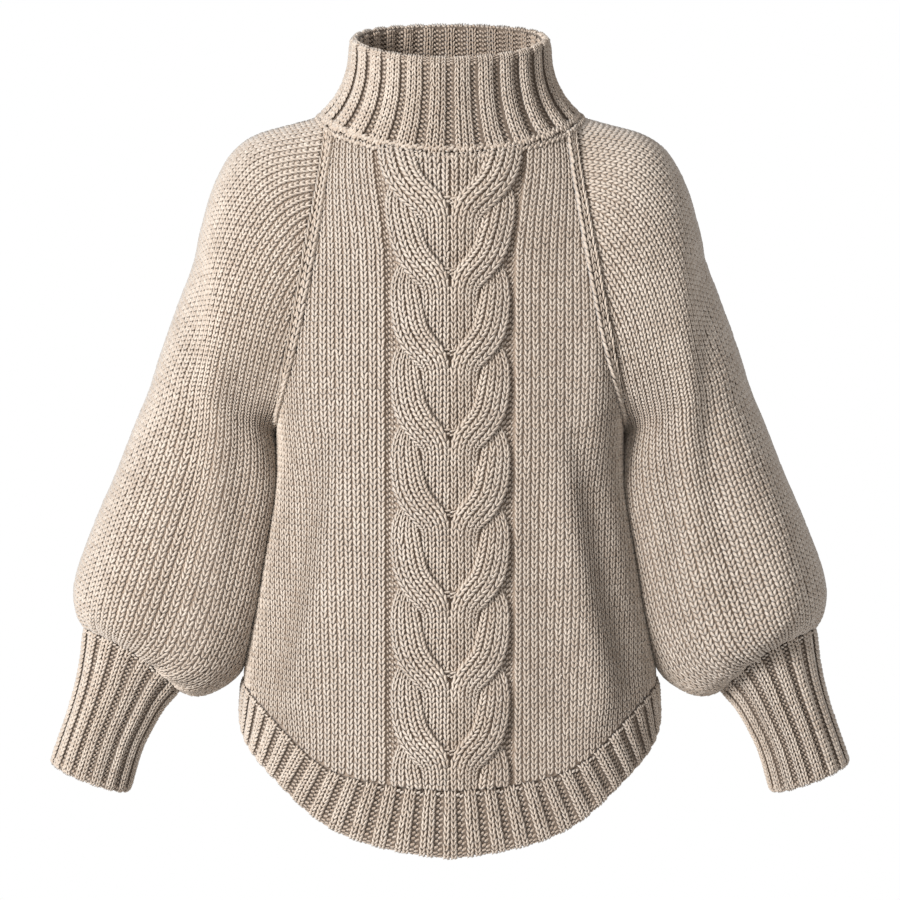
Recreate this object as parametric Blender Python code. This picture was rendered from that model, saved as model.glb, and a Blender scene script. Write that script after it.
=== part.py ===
"""Cable knit turtleneck sweater: raglan balloon sleeves, deep ribbed cuffs and a curved ribbed hem.

The garment is hollow and filled out, as it hangs on a wearer. Each knitted piece is a wall of its own:
a collar, a front with a raised cable, a back, two sleeves, two cuffs and a front and a back hem band.

Frame: +Z up, the front faces -Y, +X is the wearer's left. The origin is the middle of the neck's base.
Tables and sizes are in millimetres. A piece's mesh is written in metres.
"""

import math

import bmesh
import bpy
import numpy as np

MM = 0.001

# ---------------------------------------------------------------- driving sizes, in millimetres

WALL = 2.6                      # thickness of the plain knit
SEAM_GAP = 0.3                  # space between two pieces at a seam
RIBBED_SIDE = 2.2               # half gaps on a ribbed piece's side, whose edge cuts its neighbour's corners

NECK_HALF_WIDTH = 115.0         # seam between the collar and the four panels
NECK_HALF_DEPTH = 86.0
NECK_HEIGHT = (12.0, -18.0, -6.0)       # mean, front-to-back tilt, lift at the sides
RIM_HALF_WIDTH = 85.0           # top edge of the collar
RIM_HALF_DEPTH = 73.0
RIM_HEIGHT = (86.5, -15.5, -1.5)
RAGLAN_START = math.radians(66.0)       # where the raglan seam leaves the neck, from the front centre

COLLAR_RIBS = 26
COLLAR_RIB_RISE = 3.4
COLLAR_INSIDE_RISE = 1.8
CUFF_RIBS = 16
CUFF_RIB_RISE = 2.6
HEM_RIBS = 31                   # on each of the two bands
HEM_RIB_RISE = 3.0
HEM_FAN = 0.07                  # how far the hem's ribs spread sideways as they go down

# how the collar narrows from its seam (flare 1) to its rim (flare 0)
COLLAR_PROFILE = (
    # rise    flare
    (0.000, 1.000),
    (0.080, 0.790),
    (0.180, 0.580),
    (0.340, 0.330),
    (0.540, 0.130),
    (0.780, 0.020),
    (1.000, 0.000),
)

# the raglan seam, from below the neck to the underarm; turn is the body section's angle at the seam
RAGLAN = (
    # height  half_width  depth  turn
    (-40.0, 113.0, 62.0, 62.0),
    (-85.0, 121.0, 82.0, 60.0),
    (-130.0, 129.0, 92.0, 61.0),
    (-175.0, 137.5, 92.0, 65.0),
    (-215.0, 146.0, 78.0, 73.0),
    (-246.0, 152.0, 48.0, 83.0),
    (-265.0, 155.0, 0.0, 90.0),
)

# the body's centre lines, front and back
BODY_DEPTH = (
    # height  front   back
    (24.0, 74.0, 86.0),
    (-12.0, 86.0, 101.0),
    (-45.0, 98.0, 111.0),
    (-90.0, 109.0, 119.0),
    (-135.0, 116.0, 122.0),
    (-175.0, 120.0, 122.0),
    (-215.0, 122.0, 120.0),
    (-265.0, 123.0, 117.0),
    (-365.0, 126.0, 115.0),
    (-466.0, 130.0, 120.0),
    (-560.0, 131.5, 126.0),
    (-640.0, 132.0, 129.0),
)

# the body's half width below the underarm; a squareness of 1 is an ellipse, less is a squarer section
BODY_WIDTH = (
    # height  half_width  squareness
    (-265.0, 155.0, 0.76),
    (-293.0, 156.5, 0.77),
    (-332.0, 162.0, 0.80),
    (-365.0, 168.0, 0.82),
    (-417.0, 176.5, 0.85),
    (-466.0, 183.5, 0.88),
    (-517.0, 187.0, 0.90),
    (-560.0, 190.0, 0.90),
    (-640.0, 193.0, 0.90),
)
SLEEVE_CLEARANCE = 2.0          # between the body's side and the sleeve that hangs against it

# the hem band, from the front centre (share 0) to the side seam (share 1)
HEM = (
    # share  top     bottom
    (0.00, -567.0, -624.0),
    (0.25, -561.0, -613.5),
    (0.45, -546.0, -592.5),
    (0.60, -520.0, -566.0),
    (0.75, -499.0, -545.0),
    (0.88, -490.0, -529.0),
    (1.00, -485.0, -516.0),
)

# the sleeve's outer line from the neck to the ring that passes the underarm
SLEEVE_CAP = (
    # share  outer_x  outer_z  half_depth  wrap
    (0.00, 115.0, 18.0, 80.0, 24.0),
    (0.13, 148.0, 10.0, 80.0, 52.0),
    (0.26, 181.5, -2.0, 88.0, 72.0),
    (0.40, 204.0, -29.0, 93.0, 86.0),
    (0.55, 215.0, -62.0, 95.0, 98.0),
    (0.70, 228.0, -102.0, 93.0, 112.0),
    (0.85, 243.5, -148.0, 88.0, 135.0),
    (1.00, 260.5, -198.0, 84.0, 180.0),
)

# the sleeve below the underarm: a closed ring for each row; crown lifts its front and its back
SLEEVE = (
    # outer_x outer_z  inner_x  inner_z  half_depth  crown
    (260.5, -198.0, 155.0, -265.0, 84.0, 0.0),
    (269.5, -227.0, 148.0, -288.0, 82.0, 0.0),
    (282.5, -261.0, 144.0, -320.0, 81.0, 0.0),
    (299.0, -301.5, 150.0, -362.0, 81.0, 0.0),
    (314.5, -335.0, 158.0, -402.0, 82.0, 0.0),
    (326.5, -364.0, 168.0, -437.0, 83.0, 0.0),
    (334.5, -386.0, 179.0, -463.0, 82.0, 1.0),
    (338.0, -402.0, 191.0, -482.0, 79.0, 3.0),
    (338.5, -413.0, 207.0, -494.0, 73.0, 6.0),
    (336.0, -426.0, 227.0, -500.0, 60.0, 9.0),
    (328.5, -440.0, 245.0, -495.0, 45.0, 12.0),
)

# the cuff, from its seam with the sleeve to its open end
CUFF = (
    # outer_x outer_z  inner_x  inner_z  half_depth  crown
    (328.5, -440.0, 245.0, -495.0, 45.0, 12.0),
    (330.0, -457.0, 257.0, -507.0, 41.0, 10.0),
    (334.5, -485.0, 270.0, -527.0, 37.5, 7.0),
    (342.5, -514.0, 280.5, -548.0, 35.0, 3.0),
    (351.5, -540.0, 287.0, -568.0, 34.0, 1.0),
    (359.0, -561.0, 292.0, -586.5, 34.0, 0.0),
)

# soft folds: a path in the front view, from its top to its bottom; rise is outward, minus is a trough
BODY_FOLDS = (
    # x_top  z_top   x_mid  z_mid   x_low  z_low   spread  rise
    (124.0, -130.0, 126.0, -205.0, 122.0, -285.0, 15.0, 3.0),
    (112.0, -262.0, 140.0, -395.0, 168.0, -500.0, 15.0, -6.5),
    (90.0, -255.0, 108.0, -380.0, 142.0, -530.0, 17.0, 5.0),
    (72.0, -300.0, 78.0, -400.0, 96.0, -520.0, 16.0, -2.5),
)
BACK_FOLDS = (
    (118.0, -140.0, 119.0, -215.0, 114.0, -300.0, 16.0, 3.0),
    (104.0, -235.0, 130.0, -370.0, 165.0, -495.0, 17.0, -6.0),
    (78.0, -250.0, 98.0, -390.0, 128.0, -545.0, 18.0, 5.0),
    (30.0, -180.0, 38.0, -330.0, 52.0, -500.0, 20.0, -3.5),
)
SLEEVE_FOLDS = (
    (203.0, -60.0, 205.0, -240.0, 206.0, -440.0, 17.0, 5.0),
    (223.0, -110.0, 231.0, -300.0, 262.0, -462.0, 15.0, -7.0),
    (268.0, -255.0, 290.0, -350.0, 300.0, -440.0, 18.0, 4.0),
    (186.0, -210.0, 190.0, -330.0, 205.0, -455.0, 12.0, -3.0),
)

# the cable on the front: a column of V shapes between two sunken purl channels
CABLE_HOLES = (-57.0, -118.0, -187.5, -257.0, -327.5, -398.5, -468.0, -536.0)   # the height of each V's hole
CABLE_PITCH = 69.5
CABLE_HALF_WIDTH = 51.0         # from the centre to the middle of a channel
CHANNEL_HALF_WIDTH = 4.5
STRAND_HALF_WIDTH = 11.5
STRAND_RISE = 7.5
CABLE_GROUND_RISE = 1.2
CHANNEL_SINK = 1.3

# one strand of the cable, from where it comes out to where it joins the middle, below the V's hole at 0
STRAND_PATH = (
    # across  above  rise_share
    (29.0, 66.0, 0.25),
    (38.0, 50.0, 0.75),
    (39.5, 34.0, 1.00),
    (34.0, 16.0, 1.00),
    (20.0, 0.0, 1.00),
    (8.0, -12.0, 0.85),
    (4.0, -26.0, 0.35),
)

# how finely each piece is divided
RAGLAN_ROWS = 13
LOWER_ROWS = 13
SLEEVE_ROWS = 11
FINE = 4                        # rows of the cable for each row of the plain knit
CABLE_COLUMNS = 14
CABLE_MARGIN = 6.0              # from the middle of a channel to the plain knit beside it
INNER_MIDDLE_COLUMNS = 7
SIDE_COLUMNS = 4
BACK_COLUMNS = 12
SLEEVE_COLUMNS = 20
LATTICE_COLUMNS = 96
RIB_STEPS = (0.0, 0.22, 0.5, 0.78)      # places across one rib
RIB_SHAPE = (0.0, 1.0, 1.08, 1.0)       # its rise at those places
COLLAR_ROWS = (0.0, 0.14, 0.36, 0.66, 0.96, 1.0)
COLLAR_INSIDE_ROWS = (1.0, 0.5, 0.0)
CUFF_ROWS = (0.0, 0.2, 0.45, 0.72, 0.96, 1.0)
CUFF_INSIDE = (0, 2, 5)         # which of those rows the inside keeps
HEM_ROWS = (0.0, 0.5, 0.94, 1.0)
EDGE_ROUNDING = 0.55            # how much of a rib's rise is left at an open edge

SECTION_ASPECT = 0.74           # depth to half width, where a section's length is shared out
CLEARANCE_SOFTNESS = 2.5        # how gradually the sleeve turns along the body's side
UNDERARM_REACH = 3              # rows above and below the underarm over which the panels bend
UNDERARM_EDGE = 0.3             # the share of a panel's half over which that bend dies out at its edge

WELD = 0.0001                   # points this near are one
SHARP_ANGLE = math.radians(50.0)

COLLECTION = "cable_knit_turtleneck_sweater"
YARN_COLOUR = (0.50, 0.42, 0.35, 1.0)
RIB_COLOUR = (0.44, 0.37, 0.31, 1.0)
YARN_ROUGHNESS = 0.92


# ---------------------------------------------------------------- curves and small helpers


class Curve:
    """A natural cubic spline through a table's columns, as a function of one of them."""

    def __init__(self, places, values):
        """places rise; values has one row for each place."""
        self.places = np.asarray(places, dtype=float)
        self.values = np.asarray(values, dtype=float)
        count = len(self.places)
        steps = np.diff(self.places)
        system = np.eye(count)
        right = np.zeros_like(self.values)
        for i in range(1, count - 1):
            system[i, i - 1] = steps[i - 1]
            system[i, i] = 2.0 * (steps[i - 1] + steps[i])
            system[i, i + 1] = steps[i]
            slopes = np.diff(self.values[i - 1:i + 2], axis=0).T / steps[i - 1:i + 1]
            right[i] = 6.0 * (slopes[..., 1] - slopes[..., 0])
        self.bends = np.linalg.solve(system, right)

    def __call__(self, where):
        where = np.clip(np.asarray(where, dtype=float), self.places[0], self.places[-1])
        i = np.clip(np.searchsorted(self.places, where, side="right") - 1, 0, len(self.places) - 2)
        step = self.places[i + 1] - self.places[i]
        before = (self.places[i + 1] - where) / step
        after = (where - self.places[i]) / step
        if self.values.ndim > 1:
            step = step[..., None]
            before = before[..., None]
            after = after[..., None]
        straight = before * self.values[i] + after * self.values[i + 1]
        bend = (before ** 3 - before) * self.bends[i] + (after ** 3 - after) * self.bends[i + 1]
        return straight + bend * step ** 2 / 6.0


def column_curve(table, descending=False):
    """A curve of a table's later columns over its first one."""
    rows = np.array(table, dtype=float)
    if descending:
        rows = rows[::-1]
    return Curve(rows[:, 0], rows[:, 1:])


def row_curve(table):
    """A curve through a table's rows, with the share of the way along them as its place."""
    rows = np.array(table, dtype=float)
    travel = np.hypot(*np.diff(rows[:, :2], axis=0).T) + np.hypot(*np.diff(rows[:, 2:4], axis=0).T)
    places = np.concatenate(([0.0], np.cumsum(travel)))
    return Curve(places / places[-1], rows)


def smooth_step(value):
    value = np.clip(value, 0.0, 1.0)
    return value * value * (3.0 - 2.0 * value)


def unit(vectors):
    return vectors / np.maximum(np.linalg.norm(vectors, axis=-1, keepdims=True), 1e-12)


def mirrored(points):
    """The same points on the wearer's other side."""
    return points * np.array((-1.0, 1.0, 1.0))


def signed_power(value, power):
    return np.sign(value) * np.abs(value) ** power


def sample_rows(lattice, share):
    """The points of each lattice row at a share (0 to 1) of the way across it."""
    place = np.clip(np.asarray(share), 0.0, 1.0) * (lattice.shape[1] - 1)
    low = np.clip(place.astype(int), 0, lattice.shape[1] - 2)
    part = (place - low)[..., None]
    if low.ndim == 1:
        return lattice[:, low] * (1.0 - part) + lattice[:, low + 1] * part
    rows = np.arange(lattice.shape[0])[:, None]
    return lattice[rows, low] * (1.0 - part) + lattice[rows, low + 1] * part


def lattice_normals(points, ring=False):
    """Normals of a lattice of points, down its rows and across its columns."""
    down = np.gradient(points, axis=0)
    if ring:
        wrapped = np.concatenate((points[:, -2:-1], points, points[:, 1:2]), axis=1)
        across = np.gradient(wrapped, axis=1)[:, 1:-1]
    else:
        across = np.gradient(points, axis=1)
    return unit(np.cross(across, down))


def fold_rise(points, table):
    """How far the soft folds of a table move each point, by its place in the front view."""
    place = np.stack((np.abs(points[..., 0]), points[..., 2]), axis=-1)
    total = np.zeros(place.shape[:-1])
    for x_top, z_top, x_mid, z_mid, x_low, z_low, spread, rise in table:
        knots = np.array(((x_top, z_top), (x_mid, z_mid), (x_low, z_low)))
        nearest = np.full(place.shape[:-1], 1e9)
        along = np.zeros(place.shape[:-1])
        for i in range(2):
            run = knots[i + 1] - knots[i]
            part = np.clip(((place - knots[i]) @ run) / (run @ run), 0.0, 1.0)
            away = np.linalg.norm(place - knots[i] - part[..., None] * run, axis=-1)
            closer = away < nearest
            nearest = np.where(closer, away, nearest)
            along = np.where(closer, (i + part) / 2.0, along)
        taper = 0.35 + 0.65 * np.sin(math.pi * np.clip(0.08 + 0.84 * along, 0.0, 1.0))
        total += rise * taper * np.exp(-(nearest / spread) ** 2)
    return total


# ---------------------------------------------------------------- the garment's curves and surfaces

RAGLAN_CORNER_X = NECK_HALF_WIDTH * math.sin(RAGLAN_START)
RAGLAN_CORNER_Y = NECK_HALF_DEPTH * math.cos(RAGLAN_START)


def ring_height(terms, angle):
    mean, tilt, saddle = terms
    return mean + tilt * np.cos(angle) + saddle * np.cos(2.0 * angle)


def neck_point(angle):
    """A point of the neck seam; angle 0 is the front centre and a quarter turn is the left side."""
    x = NECK_HALF_WIDTH * np.sin(angle)
    y = -NECK_HALF_DEPTH * np.cos(angle)
    return np.stack((x, y, ring_height(NECK_HEIGHT, angle)), axis=-1)


def raglan_curve():
    """The front raglan seam as a curve over its share, with columns height, x, depth and turn."""
    corner = (
        float(ring_height(NECK_HEIGHT, RAGLAN_START)),
        RAGLAN_CORNER_X,
        RAGLAN_CORNER_Y,
        math.degrees(RAGLAN_START),
    )
    rows = np.array((corner,) + RAGLAN)
    places = np.concatenate(([0.0], np.cumsum(np.linalg.norm(np.diff(rows[:, :3], axis=0), axis=1))))
    return Curve(places / places[-1], rows)


RAGLAN_AT = raglan_curve()
DEPTH_AT = column_curve(BODY_DEPTH, descending=True)
WIDTH_AT = column_curve(BODY_WIDTH, descending=True)
HEM_AT = column_curve(HEM)
COLLAR_FLARE = column_curve(COLLAR_PROFILE)
CAP_AT = column_curve(SLEEVE_CAP)
SLEEVE_AT = row_curve(SLEEVE)
CUFF_AT = row_curve(CUFF)


def half_section(half_width, edge_depth, centre_depth, turn, squareness):
    """Half a level section of the body, as x and depth at even shares of its length."""
    angle = np.linspace(0.0, math.radians(turn), 400)
    end_sine = math.sin(math.radians(turn)) ** squareness
    end_cosine = max(math.cos(math.radians(turn)), 0.0) ** squareness
    x = half_width * np.sin(angle) ** squareness / end_sine
    fullness = (np.maximum(np.cos(angle), 0.0) ** squareness - end_cosine) / (1.0 - end_cosine)
    depth = edge_depth + (centre_depth - edge_depth) * fullness
    length = np.concatenate(([0.0], np.cumsum(np.hypot(np.diff(x), np.diff(depth)))))
    shares = np.linspace(0.0, 1.0, LATTICE_COLUMNS // 2 + 1)
    return (
        np.interp(shares, length / length[-1], x),
        np.interp(shares, length / length[-1], depth),
        length[-1],
    )


def body_lattice(side, fine):
    """The front (side -1) or back (side 1) of the body, from the neck to the hem band.

    Returns the points, with the right edge first, and each row's half length.
    """
    shares = np.linspace(0.0, 1.0, LATTICE_COLUMNS // 2 + 1)
    depth_column = 0 if side < 0 else 1
    start = RAGLAN_START
    neck_angle = shares * start
    if side > 0:
        neck_angle = math.pi - neck_angle
    neck_rise = neck_point(neck_angle)[:, 2] - neck_point(neck_angle[-1:])[:, 2]
    rows = []
    lengths = []
    for i in range(RAGLAN_ROWS * fine + 1):
        place = i / (RAGLAN_ROWS * fine)
        height, half_width, edge_depth, turn = RAGLAN_AT(place)
        if side > 0:
            height = height + neck_back_lift() * (1.0 - smooth_step(place / 0.5))
        fade = 1.0 - smooth_step(place / 0.45)
        centre_height = height + neck_rise[0] * fade
        centre_depth = DEPTH_AT(centre_height)[depth_column]
        squareness = 1.0 - (1.0 - BODY_WIDTH[0][2]) * smooth_step(place)
        x, depth, length = half_section(half_width, edge_depth, centre_depth, turn, squareness)
        rows.append(np.stack((x, side * depth, height + neck_rise * fade), axis=-1))
        lengths.append(length)
    under = RAGLAN_AT(1.0)[0]
    for i in range(1, LOWER_ROWS * fine + 1):
        place = i / (LOWER_ROWS * fine)
        height = under + (HEM_AT(shares)[:, 0] - under) * place
        row, length = lower_section(side, shares, height)
        rows.append(row)
        lengths.append(length)
    half = ease_underarm(np.array(rows), shares, fine)
    return np.concatenate((mirrored(half[:, :0:-1]), half), axis=1), np.array(lengths)


def ease_underarm(rows, shares, fine):
    """Round the bend where the rows pass the underarm, all but at the panel's edge."""
    low = (RAGLAN_ROWS - UNDERARM_REACH) * fine
    high = (RAGLAN_ROWS + UNDERARM_REACH) * fine
    span = 2.0 * UNDERARM_REACH
    start_slope = (rows[low] - rows[low - fine]) * span
    end_slope = (rows[high + fine] - rows[high]) * span
    weight = smooth_step((1.0 - shares) / UNDERARM_EDGE)[:, None]
    for i in range(low + 1, high):
        t = (i - low) / (high - low)
        value = (1.0 + 2.0 * t) * (1.0 - t) ** 2 * rows[low] + t * (1.0 - t) ** 2 * start_slope
        value += t ** 2 * (3.0 - 2.0 * t) * rows[high] + t ** 2 * (t - 1.0) * end_slope
        rows[i] += weight * (value - rows[i])
    return rows


def lower_section(side, shares, height):
    """Points below the underarm at shares of the half section, each at its own height, and its length."""
    width, squareness = WIDTH_AT(height).T
    full = DEPTH_AT(height)[..., 0 if side < 0 else 1]
    even = np.linspace(0.0, 1.0, LATTICE_COLUMNS // 2 + 1)
    middle = float(np.mean(squareness))
    x, _, length = half_section(1.0, 0.0, SECTION_ASPECT, 90.0, middle)
    angle = np.arcsin(np.clip(np.interp(shares, even, x) ** (1.0 / middle), 0.0, 1.0))
    across = np.sin(angle) ** squareness * width
    away = np.maximum(np.cos(angle), 0.0) ** squareness * full
    return np.stack((across, side * away, height), axis=-1), length * float(np.mean(width))


def clear_of_body(points):
    """Move sleeve points outward where they would come too near the body's side."""
    width, squareness = np.moveaxis(WIDTH_AT(points[..., 2]), -1, 0)
    depths = DEPTH_AT(points[..., 2])
    depth = np.where(points[..., 1] < 0.0, depths[..., 0], depths[..., 1])
    part = np.clip(np.abs(points[..., 1]) / depth, 0.0, 1.0) ** (2.0 / squareness)
    side = width * (1.0 - part) ** (squareness / 2.0) + SLEEVE_CLEARANCE
    side = np.where(points[..., 2] < RAGLAN[-1][0], side, 0.0)
    gap = points[..., 0] - side
    soft = 0.5 * (gap + np.sqrt(gap ** 2 + CLEARANCE_SOFTNESS ** 2))
    moved = points.copy()
    moved[..., 0] = np.where(side > 0.0, side + soft, points[..., 0])
    return moved


def neck_back_lift():
    """How much higher the back raglan starts than the front one."""
    front = ring_height(NECK_HEIGHT, RAGLAN_START)
    back = ring_height(NECK_HEIGHT, math.pi - RAGLAN_START)
    return float(back - front)


def raglan_points(places, side):
    """Points of the raglan seam on the wearer's left, in front (side -1) or behind (side 1)."""
    height, x, depth, _ = RAGLAN_AT(np.asarray(places)).T
    if side > 0:
        height = height + neck_back_lift() * (1.0 - smooth_step(np.asarray(places) / 0.5))
    return np.stack((x, side * depth, height), axis=-1)


def ring_section(outer, inner, half_depth, wrap, edge_depth, crown):
    """One row of a sleeve or cuff, from the back edge over the outer line to the front edge."""
    phi = np.linspace(-1.0, 1.0, LATTICE_COLUMNS + 1) * wrap
    away = (1.0 - np.cos(phi)) / (1.0 - math.cos(wrap))
    mismatch = edge_depth - half_depth * math.sin(wrap)
    bulge = half_depth * np.sin(np.abs(phi)) + mismatch * (np.abs(phi) / wrap) ** 4
    outer = np.array(outer)
    inner = np.array(inner)
    axis = np.array((inner[1] - outer[1], outer[0] - inner[0]))
    axis = axis / max(np.linalg.norm(axis), 1e-9)
    plane = outer + away[:, None] * (inner - outer) + (crown * np.sin(phi) ** 2)[:, None] * axis
    y = np.where(phi > 0.0, -bulge, bulge)
    return np.stack((plane[:, 0], y, plane[:, 1]), axis=-1)


def sleeve_lattice(fine):
    """The wearer's left sleeve from the neck to the cuff; its open rows end on the raglan seams."""
    rows = []
    for i in range(RAGLAN_ROWS * fine + 1):
        place = i / (RAGLAN_ROWS * fine)
        outer_x, outer_z, half_depth, wrap = CAP_AT(place)
        front = raglan_points([place], -1)[0]
        back = raglan_points([place], 1)[0]
        middle = ((front[0] + back[0]) / 2.0, (front[2] + back[2]) / 2.0)
        row = ring_section(
            (outer_x, outer_z), middle, half_depth, math.radians(wrap), -front[1], 0.0
        )
        tilt = np.linspace(-1.0, 1.0, LATTICE_COLUMNS + 1)
        row[:, 2] += (front[2] - back[2]) / 2.0 * signed_power(tilt, 2.0)
        if i == 0:
            row = cap_neck_row()
        rows.append(row)
    rows = blend_first_rows(rows, fine)
    for i in range(1, SLEEVE_ROWS * fine + 1):
        values = SLEEVE_AT(i / (SLEEVE_ROWS * fine))
        rows.append(ring_section(values[0:2], values[2:4], values[4], math.pi, 0.0, values[5]))
    rows = np.array(rows)
    below = RAGLAN_ROWS * fine + 1
    rows[below:] = clear_of_body(rows[below:])
    return rows


def cap_neck_row():
    """The sleeve's first row, which follows the neck seam from the back raglan to the front one."""
    angle = np.linspace(math.pi - RAGLAN_START, RAGLAN_START, LATTICE_COLUMNS + 1)
    return neck_point(angle)


def blend_first_rows(rows, fine):
    """Lead the sleeve's rows away from the exact neck seam over the first few of them."""
    share = np.linspace(-1.0, 1.0, LATTICE_COLUMNS + 1)
    outer_x, outer_z, half_depth, wrap = CAP_AT(0.0)
    front = raglan_points([0.0], -1)[0]
    back = raglan_points([0.0], 1)[0]
    middle = ((front[0] + back[0]) / 2.0, (front[2] + back[2]) / 2.0)
    plain = ring_section((outer_x, outer_z), middle, half_depth, math.radians(wrap), -front[1], 0.0)
    plain[:, 2] += (front[2] - back[2]) / 2.0 * signed_power(share, 2.0)
    offset = rows[0] - plain
    reach = 3 * fine
    for i in range(1, reach):
        rows[i] = rows[i] + offset * (1.0 - smooth_step(i / reach))
    return rows


def cuff_lattice(rows):
    """The wearer's left cuff at the given shares of its length."""
    found = []
    for place in rows:
        values = CUFF_AT(place)
        found.append(ring_section(values[0:2], values[2:4], values[4], math.pi, 0.0, values[5]))
    return np.array(found)


def collar_lattice(rows, angles):
    """The collar at the given shares of its rise and angles from the front centre."""
    found = []
    for place in rows:
        flare = COLLAR_FLARE(place)[0]
        x = (RIM_HALF_WIDTH + (NECK_HALF_WIDTH - RIM_HALF_WIDTH) * flare) * np.sin(angles)
        y = -(RIM_HALF_DEPTH + (NECK_HALF_DEPTH - RIM_HALF_DEPTH) * flare) * np.cos(angles)
        low = ring_height(NECK_HEIGHT, angles)
        high = ring_height(RIM_HEIGHT, angles)
        found.append(np.stack((x, y, low + (high - low) * place), axis=-1))
    return np.array(found)


def hem_lattice(side, rows, shares):
    """A hem band at the given shares of its depth and signed shares of the way to the side seams."""
    found = []
    away = np.abs(shares)
    spread = away + HEM_FAN * np.sin(math.pi * away)
    for place in rows:
        here = away + (spread - away) * place
        top = HEM_AT(away)[:, 0]
        bottom = HEM_AT(spread)[:, 1]
        height = top + (bottom - top) * place
        row, _ = lower_section(side, here, height)
        row[:, 0] *= np.sign(shares)
        found.append(row)
    return np.array(found)


# ---------------------------------------------------------------- the cable


def strand_curve():
    """The middle line of one strand, as closely spaced points with the share of its rise."""
    rows = np.array(STRAND_PATH)
    places = np.concatenate(([0.0], np.cumsum(np.hypot(*np.diff(rows[:, :2], axis=0).T))))
    return Curve(places / places[-1], rows)(np.linspace(0.0, 1.0, 40))


STRAND_LINE = strand_curve()


def cable_rise(x, z):
    """How far the cable raises the front's outer points."""
    away = np.abs(x)
    inside = 1.0 - smooth_step((away - CABLE_HALF_WIDTH + 6.0) / 5.0)
    channel = np.exp(-((away - CABLE_HALF_WIDTH) / CHANNEL_HALF_WIDTH) ** 2)
    rise = CABLE_GROUND_RISE * inside - CHANNEL_SINK * channel
    for hole in CABLE_HOLES + (CABLE_HOLES[-1] - CABLE_PITCH,):
        for across, above, share in STRAND_LINE:
            distance = np.hypot(away - across, z - hole - above)
            dome = np.sqrt(np.clip(1.0 - (distance / STRAND_HALF_WIDTH) ** 2, 0.0, 1.0))
            rise = np.maximum(rise, STRAND_RISE * share * dome)
    below_neck = smooth_step((-z - 16.0) / 14.0)
    above_hem = smooth_step((z + 562.0) / 14.0)
    return rise * below_neck * above_hem


# ---------------------------------------------------------------- finishes and ribs


def yarn(name, colour):
    """A matt knitted finish."""
    material = bpy.data.materials.new(name)
    material.use_nodes = True
    shader = material.node_tree.nodes["Principled BSDF"]
    shader.inputs["Base Color"].default_value = colour
    shader.inputs["Roughness"].default_value = YARN_ROUGHNESS
    shader.inputs["Metallic"].default_value = 0.0
    return material


def rib_pattern(ribs):
    """The places across a ribbed piece, from 0 to 1, and the rise at each."""
    places = [(rib + step) / ribs for rib in range(ribs) for step in RIB_STEPS]
    return np.array(places), np.array(RIB_SHAPE * ribs)


# ---------------------------------------------------------------- seams and surfaces


class Seam:
    """A seam between two pieces: its points, the way into the garment and the way across it."""

    def __init__(self, points, outward, toward, places=None, closed=False):
        """outward points out of the cloth, toward from one piece to the other; places number the nodes."""
        self.points = points
        self.places = np.linspace(0.0, 1.0, len(points)) if places is None else places
        if closed:
            wrapped = np.concatenate((points[-2:-1], points, points[1:2]))
            along = unit(np.gradient(wrapped, axis=0)[1:-1])
        else:
            along = unit(np.gradient(points, axis=0))
        inward = -unit(outward)
        across = unit(np.cross(along, inward))
        self.across = across * np.where(np.sum(across * toward, axis=-1, keepdims=True) < 0.0, -1.0, 1.0)
        self.inward = inward

    def edge(self, place, way):
        """Points half a gap to one side of the seam, and their inward ways, on its straight stretches."""
        share = np.interp(place, self.places, np.linspace(0.0, 1.0, len(self.places)))
        points, inward, across = (
            sample_rows(values[None], share)[0] for values in (self.points, self.inward, self.across)
        )
        return points + across * (way * SEAM_GAP / 2.0), inward


class Surface:
    """A lattice of points with outward normals."""

    def __init__(self, points, ring_from=None):
        """Rows from ring_from on are closed rings."""
        self.points = points
        self.normals = lattice_normals(points)
        if ring_from is not None:
            self.normals[ring_from:] = lattice_normals(points[ring_from:], ring=True)
        middle = points.mean(axis=(0, 1))
        if np.sum((points - middle) * self.normals) < 0.0:
            self.normals = -self.normals

    def at(self, rows, shares, depth=0.0):
        """Points at lattice rows and shares across them, moved inward by a depth."""
        points = sample_rows(self.points[rows], shares)
        normals = unit(sample_rows(self.normals[rows], shares))
        return points - normals * np.asarray(depth)[..., None]

    def fold(self, table, fades):
        """Move the points out and in by the soft folds of a table."""
        rise = fold_rise(self.points, table) * fades
        self.points = self.points + self.normals * rise[..., None]


def front_columns(half_length):
    """The shares across the front of its columns, where a row has this half length."""
    start = (CABLE_HALF_WIDTH + CABLE_MARGIN) / half_length
    middle = np.linspace(-1.0, 1.0, CABLE_COLUMNS + 1) * start
    out = start + (1.0 - start) * np.linspace(0.0, 1.0, SIDE_COLUMNS + 1)
    return np.concatenate((-out[:0:-1], middle, out[1:]))


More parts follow.
